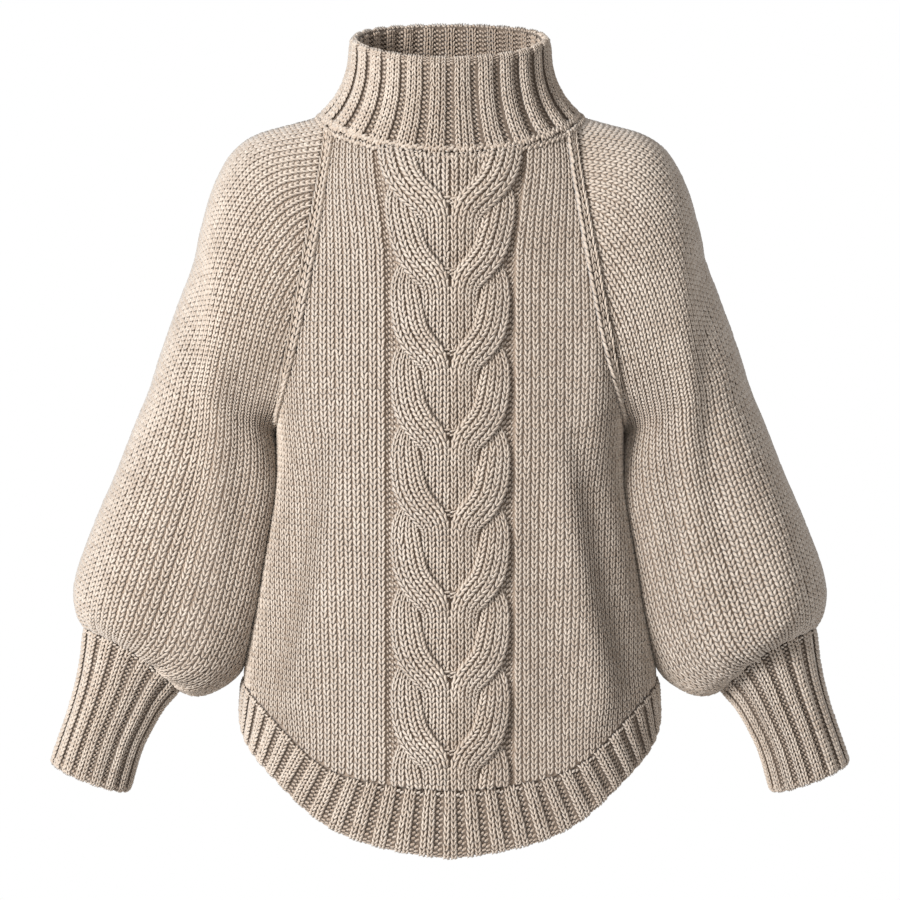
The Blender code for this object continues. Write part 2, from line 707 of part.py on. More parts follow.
class Garment:
    """All the surfaces and the seams that join them, worked out once for the wearer's left side."""

    def __init__(self):
        front_points, self.front_lengths = body_lattice(-1, FINE)
        back_points, self.back_lengths = body_lattice(1, 1)
        self.front = Surface(front_points)
        self.back = Surface(back_points)
        self.sleeve = Surface(sleeve_lattice(1), ring_from=RAGLAN_ROWS + 1)
        self.raglan_front = self.raglan_seam(-1)
        self.raglan_back = self.raglan_seam(1)
        self.side = self.side_seam()
        self.neck = self.neck_seam()
        self.hem_front = self.hem_seam(self.front, front_columns(self.front_lengths[-1]))
        self.hem_back = self.hem_seam(self.back, np.linspace(-1.0, 1.0, BACK_COLUMNS + 1))
        self.cuff = self.cuff_seam()
        self.add_folds()

    def raglan_seam(self, side):
        """A raglan seam, whose inward way turns up towards the underarm."""
        rows = np.arange(RAGLAN_ROWS + 1)
        places = rows / RAGLAN_ROWS
        if side < 0:
            body = self.front.normals[rows * FINE, -1]
            arm = self.sleeve.normals[rows, -1]
        else:
            body = self.back.normals[rows, -1]
            arm = self.sleeve.normals[rows, 0]
        lift = smooth_step((places - 0.5) / 0.5)[:, None]
        under = np.array((0.0, side * 0.9, -0.6))
        outward = unit(body + arm) * (1.0 - lift) + unit(under) * lift
        outward[-1] = np.array((0.0, 0.0, -1.0))
        return Seam(raglan_points(places, side), outward, np.array((1.0, 0.0, 0.0)))

    def side_seam(self):
        points = self.back.points[RAGLAN_ROWS:, -1]
        outward = np.tile(np.array((1.0, 0.0, 0.0)), (len(points), 1))
        return Seam(points, outward, np.array((0.0, 1.0, 0.0)))

    def hem_seam(self, surface, columns):
        """The seam between a body panel and its hem band, with a node at each of the panel's columns."""
        points = sample_rows(surface.points[-1:], 0.5 + 0.5 * columns)[0]
        outward = unit(sample_rows(surface.normals[-1:], 0.5 + 0.5 * columns)[0])
        return Seam(points, outward, np.array((0.0, 0.0, -1.0)), columns)

    def neck_seam(self):
        """The whole neck seam, with a node at each column of the panels."""
        front = front_columns(self.front_lengths[0])
        front = front[front > -1e-9] * RAGLAN_START
        cap = np.linspace(RAGLAN_START, math.pi - RAGLAN_START, SLEEVE_COLUMNS + 1)[1:]
        behind = math.pi - np.linspace(1.0, 0.0, BACK_COLUMNS // 2 + 1)[1:] * RAGLAN_START
        half = np.concatenate((front, cap, behind))
        angles = np.concatenate((half, (2.0 * math.pi - half[::-1])[1:]))
        collar = Surface(collar_lattice((0.0, 0.03, 0.06), angles), ring_from=0)
        outward = [unit(collar.normals[0, i]) + self.panel_normal(angle) for i, angle in enumerate(angles)]
        up = np.array((0.0, 0.0, 1.0))
        return Seam(neck_point(angles), np.array(outward), up, angles, closed=True)

    def panel_normal(self, angle):
        """The outward way of whichever panel meets the neck seam at an angle."""
        turn = min(angle, 2.0 * math.pi - angle)
        if turn <= RAGLAN_START:
            surface = self.front
            share = 0.5 + 0.5 * turn / RAGLAN_START
        elif turn >= math.pi - RAGLAN_START:
            surface = self.back
            share = 0.5 + 0.5 * (math.pi - turn) / RAGLAN_START
        else:
            surface = self.sleeve
            share = (math.pi - RAGLAN_START - turn) / (math.pi - 2.0 * RAGLAN_START)
        normal = unit(sample_rows(surface.normals[:1], np.array([share]))[0, 0])
        return normal if angle <= math.pi else mirrored(normal)

    def cuff_seam(self):
        cuff = Surface(cuff_lattice((0.0, 0.04, 0.08)), ring_from=0)
        shares = np.linspace(0.0, 1.0, SLEEVE_COLUMNS + 1)
        outward = unit(self.sleeve.normals[-1:]) + unit(cuff.normals[:1])
        points = sample_rows(self.sleeve.points[-1:], shares)[0]
        return Seam(points, sample_rows(outward, shares)[0], np.array((0.4, 0.0, -0.9)), closed=True)

    def add_folds(self):
        """Shape the soft folds, which die out at every seam."""
        share = np.abs(np.linspace(-1.0, 1.0, LATTICE_COLUMNS + 1))
        edge = smooth_step((1.0 - share) / 0.14)[None, :]
        for surface, table, fine in ((self.front, BODY_FOLDS, FINE), (self.back, BACK_FOLDS, 1)):
            row = np.arange(len(surface.points))
            ends = smooth_step(row / (3.0 * fine)) * smooth_step(row[::-1] / (2.0 * fine))
            surface.fold(table, edge * ends[:, None])
        row = np.arange(len(self.sleeve.points))
        ends = smooth_step(row / 4.0) * smooth_step(row[::-1] / 3.0)
        closed = smooth_step((row - RAGLAN_ROWS + 3.0) / 3.0)[:, None]
        self.sleeve.fold(SLEEVE_FOLDS, ends[:, None] * (edge + (1.0 - edge) * closed))

    # each of these gives a piece's points, with its edges on the seams

    def body(self, side, rows, shares, depth):
        """Points of the front or back; depth 0 is the outer face and WALL the inner one."""
        surface = self.front if side < 0 else self.back
        fine = FINE if side < 0 else 1
        points = surface.at(rows, 0.5 + 0.5 * shares, depth)
        edge, inward, ways = self.body_edge(side)
        for column in (0, -1):
            if abs(shares[0, column]) > 1.0 - 1e-9:
                line = (edge + inward * np.max(depth))[rows // fine]
                points[:, column] = line if shares[0, column] > 0.0 else mirrored(line)
        if rows[0] == 0:
            angle = shares[0] * RAGLAN_START
            angle = np.mod(angle if side < 0 else math.pi - angle, 2.0 * math.pi)
            ends, inner_way = self.neck.edge(angle, -1.0)
            points[0] = ends + inner_way * self.row_depth(depth, 0)
            self.shift_corners(points[0], shares[0], ways[0])
        if rows[-1] == len(surface.points) - 1:
            seam = self.hem_front if side < 0 else self.hem_back
            ends, inner_way = seam.edge(shares[-1], -1.0)
            points[-1] = ends + inner_way * self.row_depth(depth, -1)
            self.shift_corners(points[-1], shares[-1], ways[-1])
        return points

    def row_depth(self, depth, row):
        depth = np.asarray(depth)
        return depth[row][..., None] if depth.ndim > 1 else depth

    def shift_corners(self, line, shares, way):
        """Move a row's end points half a gap off the seam down the panel's edge."""
        for column in (0, -1):
            if abs(shares[column]) > 1.0 - 1e-9:
                line[column] += way if shares[column] > 0.0 else mirrored(way)

    def body_edge(self, side):
        """The left edge of a body panel, row by row, with its inward and gap ways."""
        raglan = self.raglan_front if side < 0 else self.raglan_back
        gap = SEAM_GAP / 2.0
        ways = np.concatenate((-gap * raglan.across, side * gap * self.side.across[1:]))
        ways[RAGLAN_ROWS] += side * gap * self.side.across[0]
        points = np.concatenate((raglan.points, self.side.points[1:])) + ways
        return points, np.concatenate((raglan.inward, self.side.inward[1:])), ways

    def arm(self, shares, depth):
        """Points of the left sleeve at shares across every row."""
        rows = np.arange(len(self.sleeve.points))
        shares = np.tile(shares, (len(rows), 1))
        points = self.sleeve.at(rows, 0.5 + 0.5 * shares, depth)
        gap = SEAM_GAP / 2.0
        for column, raglan in ((0, self.raglan_back), (-1, self.raglan_front)):
            line = raglan.points + gap * raglan.across + raglan.inward * depth
            points[:RAGLAN_ROWS + 1, column] = line
        under = self.sleeve.points[RAGLAN_ROWS, 0] + np.array((gap, 0.0, 0.0))
        points[RAGLAN_ROWS, (0, -1)] = under + self.raglan_front.inward[-1] * depth
        angle = math.pi - RAGLAN_START - (0.5 + 0.5 * shares[0]) * (math.pi - 2.0 * RAGLAN_START)
        ends, inward = self.neck.edge(angle, -1.0)
        points[0] = ends + inward * depth
        points[0, 0] += gap * self.raglan_back.across[0]
        points[0, -1] += gap * self.raglan_front.across[0]
        ends, inward = self.cuff.edge(0.5 + 0.5 * shares[-1], -1.0)
        points[-1] = ends + inward * depth
        points[RAGLAN_ROWS + 1:, -1] = points[RAGLAN_ROWS + 1:, 0]
        return points


# ---------------------------------------------------------------- meshes


class Cloth:
    """Collects the faces of one wall and makes its object."""

    def __init__(self):
        self.points = []
        self.faces = []

    def add(self, points):
        """Add a block of points and return their numbers in the block's shape."""
        start = sum(len(block) for block in self.points)
        flat = points.reshape(-1, 3)
        self.points.append(flat)
        return np.arange(start, start + len(flat)).reshape(points.shape[:-1])

    def grid(self, numbers):
        """Faces between neighbouring rows and columns of numbered points."""
        for upper, lower in zip(numbers[:-1], numbers[1:]):
            for j in range(len(upper) - 1):
                self.faces.append((upper[j], upper[j + 1], lower[j + 1], lower[j]))

    def strip(self, first, second, first_places=None, second_places=None):
        """Faces between two lines of points that may differ in number, matched by their places."""
        if first_places is None:
            first_places = np.linspace(0.0, 1.0, len(first))
        if second_places is None:
            second_places = np.linspace(0.0, 1.0, len(second))
        far = np.array((1e9,))
        first_places = np.concatenate((first_places, far))
        second_places = np.concatenate((second_places, far))
        i = 0
        j = 0
        while i < len(first) - 1 or j < len(second) - 1:
            lead = first_places[i + 1] - second_places[j + 1]
            if abs(lead) < 1e-9:
                self.faces.append((first[i], first[i + 1], second[j + 1], second[j]))
                i += 1
                j += 1
            elif lead < 0.0:
                self.faces.append((first[i], first[i + 1], second[j]))
                i += 1
            else:
                self.faces.append((first[i], second[j + 1], second[j]))
                j += 1

    def build(self, name, material, collection, flipped=False):
        """Make the piece's object; flipped mirrors it to the wearer's right."""
        points = np.concatenate(self.points) * MM
        if flipped:
            points = mirrored(points)
        shell = bmesh.new()
        corners = [shell.verts.new(point) for point in points]
        for ring in self.faces:
            shell.faces.new([corners[number] for number in ring])
        bmesh.ops.remove_doubles(shell, verts=shell.verts[:], dist=WELD * MM)
        bmesh.ops.triangulate(shell, faces=shell.faces[:])
        bmesh.ops.recalc_face_normals(shell, faces=shell.faces[:])
        if shell.calc_volume(signed=True) < 0.0:
            bmesh.ops.reverse_faces(shell, faces=shell.faces[:])
        mesh = bpy.data.meshes.new(name)
        shell.to_mesh(mesh)
        shell.free()
        mesh.materials.append(material)
        mesh.shade_smooth()
        mesh.set_sharp_from_angle(angle=SHARP_ANGLE)
        piece = bpy.data.objects.new(name, mesh)
        collection.objects.link(piece)
        return piece


def body_panel(garment, side):
    """The wall of the front, with its cable, or of the plain back."""
    fine = FINE if side < 0 else 1
    lengths = garment.front_lengths if side < 0 else garment.back_lengths
    rows = np.arange(len(lengths))
    coarse = rows[::fine]
    cloth = Cloth()
    if side < 0:
        reach = CABLE_HALF_WIDTH + CABLE_MARGIN
        start = (reach / lengths)[:, None]
        middle = np.linspace(-1.0, 1.0, CABLE_COLUMNS + 1)[None, :] * start
        plain = garment.body(side, rows, middle, 0.0)
        raised = garment.body(side, rows, middle, -cable_rise(plain[..., 0], plain[..., 2]))
        out = start[coarse] + (1.0 - start[coarse]) * np.linspace(0.0, 1.0, SIDE_COLUMNS + 1)[None, :]
        raised[::fine, -1] = garment.body(side, coarse, out, 0.0)[:, 0]
        raised[::fine, 0] = garment.body(side, coarse, -out, 0.0)[:, 0]
        middle_ids = cloth.add(raised)
        right_ids = cloth.add(garment.body(side, coarse, out, 0.0))
        left_ids = cloth.add(garment.body(side, coarse, -out, 0.0))
        cloth.grid(middle_ids)
        cloth.grid(right_ids)
        cloth.grid(left_ids)
        cloth.strip(middle_ids[:, -1], right_ids[:, 0])
        cloth.strip(middle_ids[:, 0], left_ids[:, 0])
        ends = []
        for row in (0, -1):
            ends.append(np.concatenate((left_ids[row, :0:-1], middle_ids[row], right_ids[row, 1:])))
        end_places = [front_columns(lengths[row]) for row in (0, -1)]
        edges = [left_ids[:, -1], right_ids[:, -1]]
        inner_middle = np.linspace(-1.0, 1.0, INNER_MIDDLE_COLUMNS + 1)[None, :] * start[coarse]
        inside = np.concatenate((-out[:, :0:-1], inner_middle, out[:, 1:]), axis=1)
    else:
        inside = np.tile(np.linspace(-1.0, 1.0, BACK_COLUMNS + 1), (len(rows), 1))
        ids = cloth.add(garment.body(side, rows, inside, 0.0))
        cloth.grid(ids)
        ends = [ids[0], ids[-1]]
        end_places = [inside[0], inside[-1]]
        edges = [ids[:, 0], ids[:, -1]]
    inner_ids = cloth.add(garment.body(side, coarse, inside, WALL))
    cloth.grid(inner_ids)
    for row, line, places in zip((0, -1), ends, end_places):
        cloth.strip(line, inner_ids[row], places, inside[row])
    for column, line in zip((0, -1), edges):
        cloth.strip(line, inner_ids[:, column])
    return cloth


def sleeve_wall(garment):
    """The wall of a sleeve: open at the neck and the raglan seams above, a tube below."""
    cloth = Cloth()
    shares = np.linspace(-1.0, 1.0, SLEEVE_COLUMNS + 1)
    outer_ids = cloth.add(garment.arm(shares, 0.0))
    inner_ids = cloth.add(garment.arm(shares, WALL))
    cloth.grid(outer_ids)
    cloth.grid(inner_ids)
    cloth.strip(outer_ids[0], inner_ids[0])
    cloth.strip(outer_ids[-1], inner_ids[-1])
    for column in (0, -1):
        cloth.strip(outer_ids[:RAGLAN_ROWS + 1, column], inner_ids[:RAGLAN_ROWS + 1, column])
    return cloth


def ribbed_wall(outer, inner, closed):
    """A wall between an outer and an inner lattice that share their columns."""
    cloth = Cloth()
    if closed:
        outer = np.concatenate((outer, outer[:, :1]), axis=1)
        inner = np.concatenate((inner, inner[:, :1]), axis=1)
    ids = cloth.add(np.concatenate((outer, inner[::-1], outer[:1])))
    cloth.grid(ids)
    if not closed:
        count = len(outer)
        for column in (0, -1):
            cloth.strip(ids[:count, column], ids[count:-1, column][::-1])
    return cloth


def collar_wall(garment):
    """The turtleneck's tube, ribbed outside and, more softly, inside."""
    places, rises = rib_pattern(COLLAR_RIBS)
    angles = places * 2.0 * math.pi
    ring = np.append(angles, angles[0] + 2.0 * math.pi)
    outer = Surface(collar_lattice(COLLAR_ROWS, ring), ring_from=0)
    fade = np.array([1.0] * (len(COLLAR_ROWS) - 1) + [EDGE_ROUNDING])[:, None]
    outside = (outer.points + outer.normals * (COLLAR_RIB_RISE * fade * np.append(rises, rises[0]))[..., None])
    inner = Surface(collar_lattice(COLLAR_INSIDE_ROWS[::-1], ring), ring_from=0)
    hollow = 1.0 - np.minimum(np.append(rises, rises[0]), 1.0)
    fade = np.array([0.0] + [1.0] * (len(COLLAR_INSIDE_ROWS) - 2) + [EDGE_ROUNDING])[:, None]
    inside = inner.points - inner.normals * (WALL + COLLAR_INSIDE_RISE * fade * hollow)[..., None]
    outside, inside = outside[:, :-1], inside[:, :-1]
    seam, inward = garment.neck.edge(angles, RIBBED_SIDE)
    outside[0] = seam - inward * (COLLAR_RIB_RISE * rises)[:, None]
    inside[0] = seam + inward * WALL
    return ribbed_wall(outside, inside, closed=True)


def cuff_wall(garment):
    """A cuff's tube, ribbed outside."""
    places, rises = rib_pattern(CUFF_RIBS)
    shares = np.append(places, 1.0)
    outer = Surface(cuff_lattice(CUFF_ROWS), ring_from=0)
    rows = np.tile(shares, (len(CUFF_ROWS), 1))
    fade = np.array([1.0] * (len(CUFF_ROWS) - 1) + [EDGE_ROUNDING])[:, None]
    lines = np.arange(len(CUFF_ROWS))
    outside = outer.at(lines, rows, -CUFF_RIB_RISE * fade * np.append(rises, rises[0]))[:, :-1]
    keep = np.array(CUFF_INSIDE)
    inside = outer.at(keep, rows[keep], WALL)[:, :-1]
    seam, inward = garment.cuff.edge(places, RIBBED_SIDE)
    outside[0] = seam - inward * (CUFF_RIB_RISE * rises)[:, None]
    inside[0] = seam + inward * WALL
    return ribbed_wall(outside, inside, closed=True)


def hem_wall(garment, side):
    """A hem band, ribbed outside, from one side seam to the other."""
    places, rises = rib_pattern(HEM_RIBS)
    shares = 2.0 * np.append(places, 1.0) - 1.0
    rises = np.append(rises, 0.0)
    surface = Surface(hem_lattice(side, HEM_ROWS, shares))
    surface.normals[:, (0, -1)] = np.array(((-1.0, 0.0, 0.0), (1.0, 0.0, 0.0)))
    fade = np.array([1.0] * (len(HEM_ROWS) - 1) + [EDGE_ROUNDING])[:, None]
    outside = surface.points + surface.normals * (HEM_RIB_RISE * fade * rises)[..., None]
    inside = (surface.points - surface.normals * WALL)[[0, -1]]
    seam, inward = (garment.hem_front if side < 0 else garment.hem_back).edge(shares, RIBBED_SIDE)
    outside[0] = seam - inward * (HEM_RIB_RISE * rises)[:, None]
    inside[0] = seam + inward * WALL
    for wall in (outside, inside):
        wall[:, (0, -1), 1] = side * SEAM_GAP / 2.0
    return ribbed_wall(outside, inside, closed=False)


def main():
    for thing in list(bpy.data.objects):
        bpy.data.objects.remove(thing)
    collection = bpy.data.collections.new(COLLECTION)
    bpy.context.scene.collection.children.link(collection)
    plain = yarn("greige_yarn", YARN_COLOUR)
    ribbed = yarn("greige_rib_yarn", RIB_COLOUR)
    garment = Garment()
    collar_wall(garment).build("collar", ribbed, collection)
    body_panel(garment, -1).build("front", plain, collection)
    body_panel(garment, 1).build("back", plain, collection)
    hem_wall(garment, -1).build("hem_front", ribbed, collection)
    hem_wall(garment, 1).build("hem_back", ribbed, collection)
    for hand, flipped in (("left", False), ("right", True)):
        sleeve_wall(garment).build("sleeve_" + hand, plain, collection, flipped)
        cuff_wall(garment).build("cuff_" + hand, ribbed, collection, flipped)


main()
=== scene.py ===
"""Cable knit turtleneck sweater: every stitch of its nine knitted pieces.

Each piece is a thin cloth shell on the form of its solid, and a coat of single stitches on that shell. A
stitch is two slanted yarn legs, or two lying bumps on the purl side. They follow the rows and columns that a
knitter would make: straight down the body, down the sleeve from the raglan seams, up the ribs and along the
crossing strands of the cable. Sizes in the tables are in millimetres, and meshes are written in metres.
"""

from __future__ import annotations

import logging
import math
from dataclasses import dataclass, field, replace
from enum import Enum
from typing import Iterable, Sequence

import bmesh  # noqa: E402
import bpy  # noqa: E402
import numpy as np  # noqa: E402
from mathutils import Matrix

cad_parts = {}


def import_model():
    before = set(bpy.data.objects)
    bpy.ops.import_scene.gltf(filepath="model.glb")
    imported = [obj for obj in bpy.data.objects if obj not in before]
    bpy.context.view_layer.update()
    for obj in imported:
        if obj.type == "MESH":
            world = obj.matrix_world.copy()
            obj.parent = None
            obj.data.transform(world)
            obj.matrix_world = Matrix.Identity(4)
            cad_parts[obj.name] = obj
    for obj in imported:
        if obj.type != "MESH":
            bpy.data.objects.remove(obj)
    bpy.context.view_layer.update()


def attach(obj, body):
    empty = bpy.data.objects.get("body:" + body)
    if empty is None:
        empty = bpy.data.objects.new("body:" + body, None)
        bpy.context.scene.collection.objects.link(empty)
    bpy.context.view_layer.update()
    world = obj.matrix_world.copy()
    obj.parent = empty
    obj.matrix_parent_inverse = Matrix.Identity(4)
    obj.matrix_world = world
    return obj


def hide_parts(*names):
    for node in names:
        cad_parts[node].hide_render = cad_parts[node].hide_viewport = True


LOG = logging.getLogger("sweater")
MM = 0.001

# ---------------------------------------------------------------- driving sizes, in millimetres

WALL = 2.6                      # thickness of the knitted cloth
SEAM_GAP = 0.3                  # space between two pieces at a seam
STITCH_WIDTH = 7.4              # one column of knit stitches
ROW_HEIGHT = 4.9
GROUND_DEPTH = 0.7              # how far the shell lies under the stitches

NECK_HALF_WIDTH = 115.0         # seam between the collar and the four panels
NECK_HALF_DEPTH = 86.0
NECK_HEIGHT = (12.0, -18.0, -6.0)       # mean, front-to-back tilt, lift at the sides
RIM_HALF_WIDTH = 85.0           # top edge of the collar
RIM_HALF_DEPTH = 73.0
RIM_HEIGHT = (86.5, -15.5, -1.5)
RAGLAN_START = math.radians(66.0)       # where the raglan seam leaves the neck, from the front centre

RIB_ROW_HEIGHT = 4.1            # one row of the ribbed pieces' finer stitches
RIB_SINK = 1.4                  # how far the grooves lie under the cloth's face
GROOVE_PAINTED_SHADE = -1.3             # painted shade: how much darker the yarn in the grooves is
SEAM_SIZE = 1.8                 # how thick the yarn is where a groove starts at the seam
SEAM_SHADE = 0.2                # and how much lighter
COLLAR_RIBS = 26
COLLAR_RIB_RISE = 3.8           # how far a rib stands up from the cloth's face
COLLAR_INSIDE_RISE = 2.2
COLLAR_INSIDE_PAINTED_SHADE = -1.5      # painted shade: how much darker the collar's inside is
COLLAR_INSIDE_REACH = 62.0      # how far down inside the collar the stitches go
RIDGE_STITCH = 5.8              # one bump of the double ridge at the collar's foot
RIDGE_SIZE = 1.9                # how thick its yarn is
RIDGES = ((6.0, 0.8, 2.2), (-0.8, -5.8, 1.4))   # upper and lower edges above the seam, and rise
TOP_ROW_HEIGHT = 5.5            # between the top rows of the panels' forms, about
CUFF_RIBS = 16
CUFF_RIB_RISE = 2.6
HEM_RIBS = 31                   # on each of the two bands
HEM_RIB_RISE = 3.0
HEM_FAN = 0.07                  # how far the hem's ribs spread sideways as they go down
EDGE_REACH = 7.0                # how far the stitches turn in round an open edge
COLLAR_EDGE_REACH = 4.0
COLLAR_COLUMNS = (-0.15, 0.15, 0.383, 0.617)    # where a rib's columns start; the first lies in the groove
CUFF_COLUMNS = (-0.16, 0.16, 0.5)
HEM_COLUMNS = (-0.18, 0.18, 0.5)

# how the collar narrows from its seam (flare 1) to its rim (flare 0)
COLLAR_PROFILE = (
    # rise    flare
    (0.000, 1.000),
    (0.080, 0.790),
    (0.180, 0.580),
    (0.340, 0.330),
    (0.540, 0.130),
    (0.780, 0.020),
    (1.000, 0.000),
)

# the raglan seam, from below the neck to the underarm; turn is the body section's angle at the seam
RAGLAN = (
    # height  half_width  depth  turn
    (-40.0, 113.0, 62.0, 62.0),
    (-85.0, 121.0, 82.0, 60.0),
    (-130.0, 129.0, 92.0, 61.0),
    (-175.0, 137.5, 92.0, 65.0),
    (-215.0, 146.0, 78.0, 73.0),
    (-246.0, 152.0, 48.0, 83.0),
    (-265.0, 155.0, 0.0, 90.0),
)

# the body's centre lines, front and back
BODY_DEPTH = (
    # height  front   back
    (24.0, 74.0, 86.0),
    (-12.0, 86.0, 101.0),
    (-45.0, 98.0, 111.0),
    (-90.0, 109.0, 119.0),
    (-135.0, 116.0, 122.0),
    (-175.0, 120.0, 122.0),
    (-215.0, 122.0, 120.0),
    (-265.0, 123.0, 117.0),
    (-365.0, 126.0, 115.0),
    (-466.0, 130.0, 120.0),
    (-560.0, 131.5, 126.0),
    (-640.0, 132.0, 129.0),
)

# the body's half width below the underarm; a squareness of 1 is an ellipse, less is a squarer section
BODY_WIDTH = (
    # height  half_width  squareness
    (-265.0, 155.0, 0.76),
    (-293.0, 156.5, 0.77),
    (-332.0, 162.0, 0.80),
    (-365.0, 168.0, 0.82),
    (-417.0, 176.5, 0.85),
    (-466.0, 183.5, 0.88),
    (-517.0, 187.0, 0.90),
    (-560.0, 190.0, 0.90),
    (-640.0, 193.0, 0.90),
)
SLEEVE_CLEARANCE = 2.0          # between the body's side and the sleeve that hangs against it

# the hem band, from the front centre (share 0) to the side seam (share 1)
HEM = (
    # share  top     bottom
    (0.00, -567.0, -624.0),
    (0.25, -561.0, -613.5),
    (0.45, -546.0, -592.5),
    (0.60, -520.0, -566.0),
    (0.75, -499.0, -545.0),
    (0.88, -490.0, -529.0),
    (1.00, -485.0, -516.0),
)

# the sleeve's outer line from the neck to the ring that passes the underarm
SLEEVE_CAP = (
    # share  outer_x  outer_z  half_depth  wrap
    (0.00, 115.0, 18.0, 80.0, 24.0),
    (0.13, 148.0, 10.0, 80.0, 52.0),
    (0.26, 181.5, -2.0, 88.0, 72.0),
    (0.40, 204.0, -29.0, 93.0, 86.0),
    (0.55, 215.0, -62.0, 95.0, 98.0),
    (0.70, 228.0, -102.0, 93.0, 112.0),
    (0.85, 243.5, -148.0, 88.0, 135.0),
    (1.00, 260.5, -198.0, 84.0, 180.0),
)

# the sleeve below the underarm: a closed ring for each row; crown lifts its front and its back
SLEEVE = (
    # outer_x outer_z  inner_x  inner_z  half_depth  crown
    (260.5, -198.0, 155.0, -265.0, 84.0, 0.0),
    (269.5, -227.0, 148.0, -288.0, 82.0, 0.0),
    (282.5, -261.0, 144.0, -320.0, 81.0, 0.0),
    (299.0, -301.5, 150.0, -362.0, 81.0, 0.0),
    (314.5, -335.0, 158.0, -402.0, 82.0, 0.0),
    (326.5, -364.0, 168.0, -437.0, 83.0, 0.0),
    (334.5, -386.0, 179.0, -463.0, 82.0, 1.0),
    (338.0, -402.0, 191.0, -482.0, 79.0, 3.0),
    (338.5, -413.0, 207.0, -494.0, 73.0, 6.0),
    (336.0, -426.0, 227.0, -500.0, 60.0, 9.0),
    (328.5, -440.0, 245.0, -495.0, 45.0, 12.0),
)

# the cuff, from its seam with the sleeve to its open end
CUFF = (
    # outer_x outer_z  inner_x  inner_z  half_depth  crown
    (328.5, -440.0, 245.0, -495.0, 45.0, 12.0),
    (330.0, -457.0, 257.0, -507.0, 41.0, 10.0),
    (334.5, -485.0, 270.0, -527.0, 37.5, 7.0),
    (342.5, -514.0, 280.5, -548.0, 35.0, 3.0),
    (351.5, -540.0, 287.0, -568.0, 34.0, 1.0),
    (359.0, -561.0, 292.0, -586.5, 34.0, 0.0),
)

# soft folds: a path in the front view, from its top to its bottom; rise is outward, minus is a trough
BODY_FOLDS = (
    # x_top  z_top   x_mid  z_mid   x_low  z_low   spread  rise
    (124.0, -130.0, 126.0, -205.0, 122.0, -285.0, 15.0, 3.0),
    (112.0, -262.0, 140.0, -395.0, 168.0, -500.0, 15.0, -6.5),
    (90.0, -255.0, 108.0, -380.0, 142.0, -530.0, 17.0, 5.0),
    (72.0, -300.0, 78.0, -400.0, 96.0, -520.0, 16.0, -2.5),
)
BACK_FOLDS = (
    (118.0, -140.0, 119.0, -215.0, 114.0, -300.0, 16.0, 3.0),
    (104.0, -235.0, 130.0, -370.0, 165.0, -495.0, 17.0, -6.0),
    (78.0, -250.0, 98.0, -390.0, 128.0, -545.0, 18.0, 5.0),
    (30.0, -180.0, 38.0, -330.0, 52.0, -500.0, 20.0, -3.5),
)
SLEEVE_FOLDS = (
    (203.0, -60.0, 205.0, -240.0, 206.0, -440.0, 17.0, 5.0),
    (223.0, -110.0, 231.0, -300.0, 262.0, -462.0, 15.0, -7.0),
    (268.0, -255.0, 290.0, -350.0, 300.0, -440.0, 18.0, 4.0),
    (186.0, -210.0, 190.0, -330.0, 205.0, -455.0, 12.0, -3.0),
)

# the cable on the front: a column of V shapes between two sunken purl channels
CABLE_HOLES = (-57.0, -118.0, -187.5, -257.0, -327.5, -398.5, -468.0, -536.0)   # the height of each V's hole
CABLE_PITCH = 69.5
CABLE_HALF_WIDTH = 51.5         # from the centre to the middle of a channel
CHANNEL_HALF_WIDTH = 4.6
CHANNEL_SINK = 3.4              # how deep a channel is
# painted shade: how much darker the yarn in the sunken channels is
CHANNEL_PAINTED_SHADE = -0.8
CHANNEL_SPREAD = 14.0           # how much further out the channels start at the neck
CHANNEL_REACH = 62.0            # how far down from the neck that spread dies away
CHANNEL_RISES = (-0.6, -1.4, 0.6 - CHANNEL_SINK, 0.6 - CHANNEL_SINK)    # of its purl columns' edges
STRAND_COLUMNS = 4

# one strand's middle line and width, from where it comes out from under the strand above, past the V's hole
# at 0, to where its columns end in the middle; layer is how far it stands up
STRAND_PATH = (
    # across  above  half_width  layer
    (37.0, 76.0, 9.0, -0.6),
    (39.2, 64.0, 11.6, 2.2),
    (38.6, 50.0, 13.4, 5.6),
    (36.6, 36.0, 14.3, 7.8),
    (33.2, 23.0, 14.5, 9.0),
    (27.2, 12.5, 14.3, 9.4),
    (20.0, 4.2, 14.0, 9.2),
    (14.0, -4.4, 13.2, 8.2),
    (12.2, -14.0, 12.3, 5.6),
    (12.2, -26.0, 12.2, 3.0),
    (12.4, -40.0, 12.4, 1.5),
    (12.6, -56.0, 12.6, 0.6),
    (12.8, -65.0, 12.6, 0.3),
)
HOLE_BARS = ((8.2, 6.4), (4.6, 4.8), (1.2, 3.0))        # above a hole: the bars' edges and half widths
HOLE_BAR_RISE = 2.4
HOLE_BAR_SIZE = 1.7             # how thick the bars' yarn is
HOLE_SINK = 2.6                 # how deep the shell dips in a hole
HOLE_HALF_WIDTH = 4.0
HOLE_HALF_HEIGHT = 4.5
HOLE_MIDDLE = 2.5               # of that dip, above the hole's given height
STRAND_DOME = 5.0               # how much lower a strand's edges are than its middle, where it stands up
STRAND_FULL_LAYER = 7.0         # the layer from which a strand has its full dome
STRAND_OWN_SHARE = 0.65         # how much a strand's stitches turn with its own surface

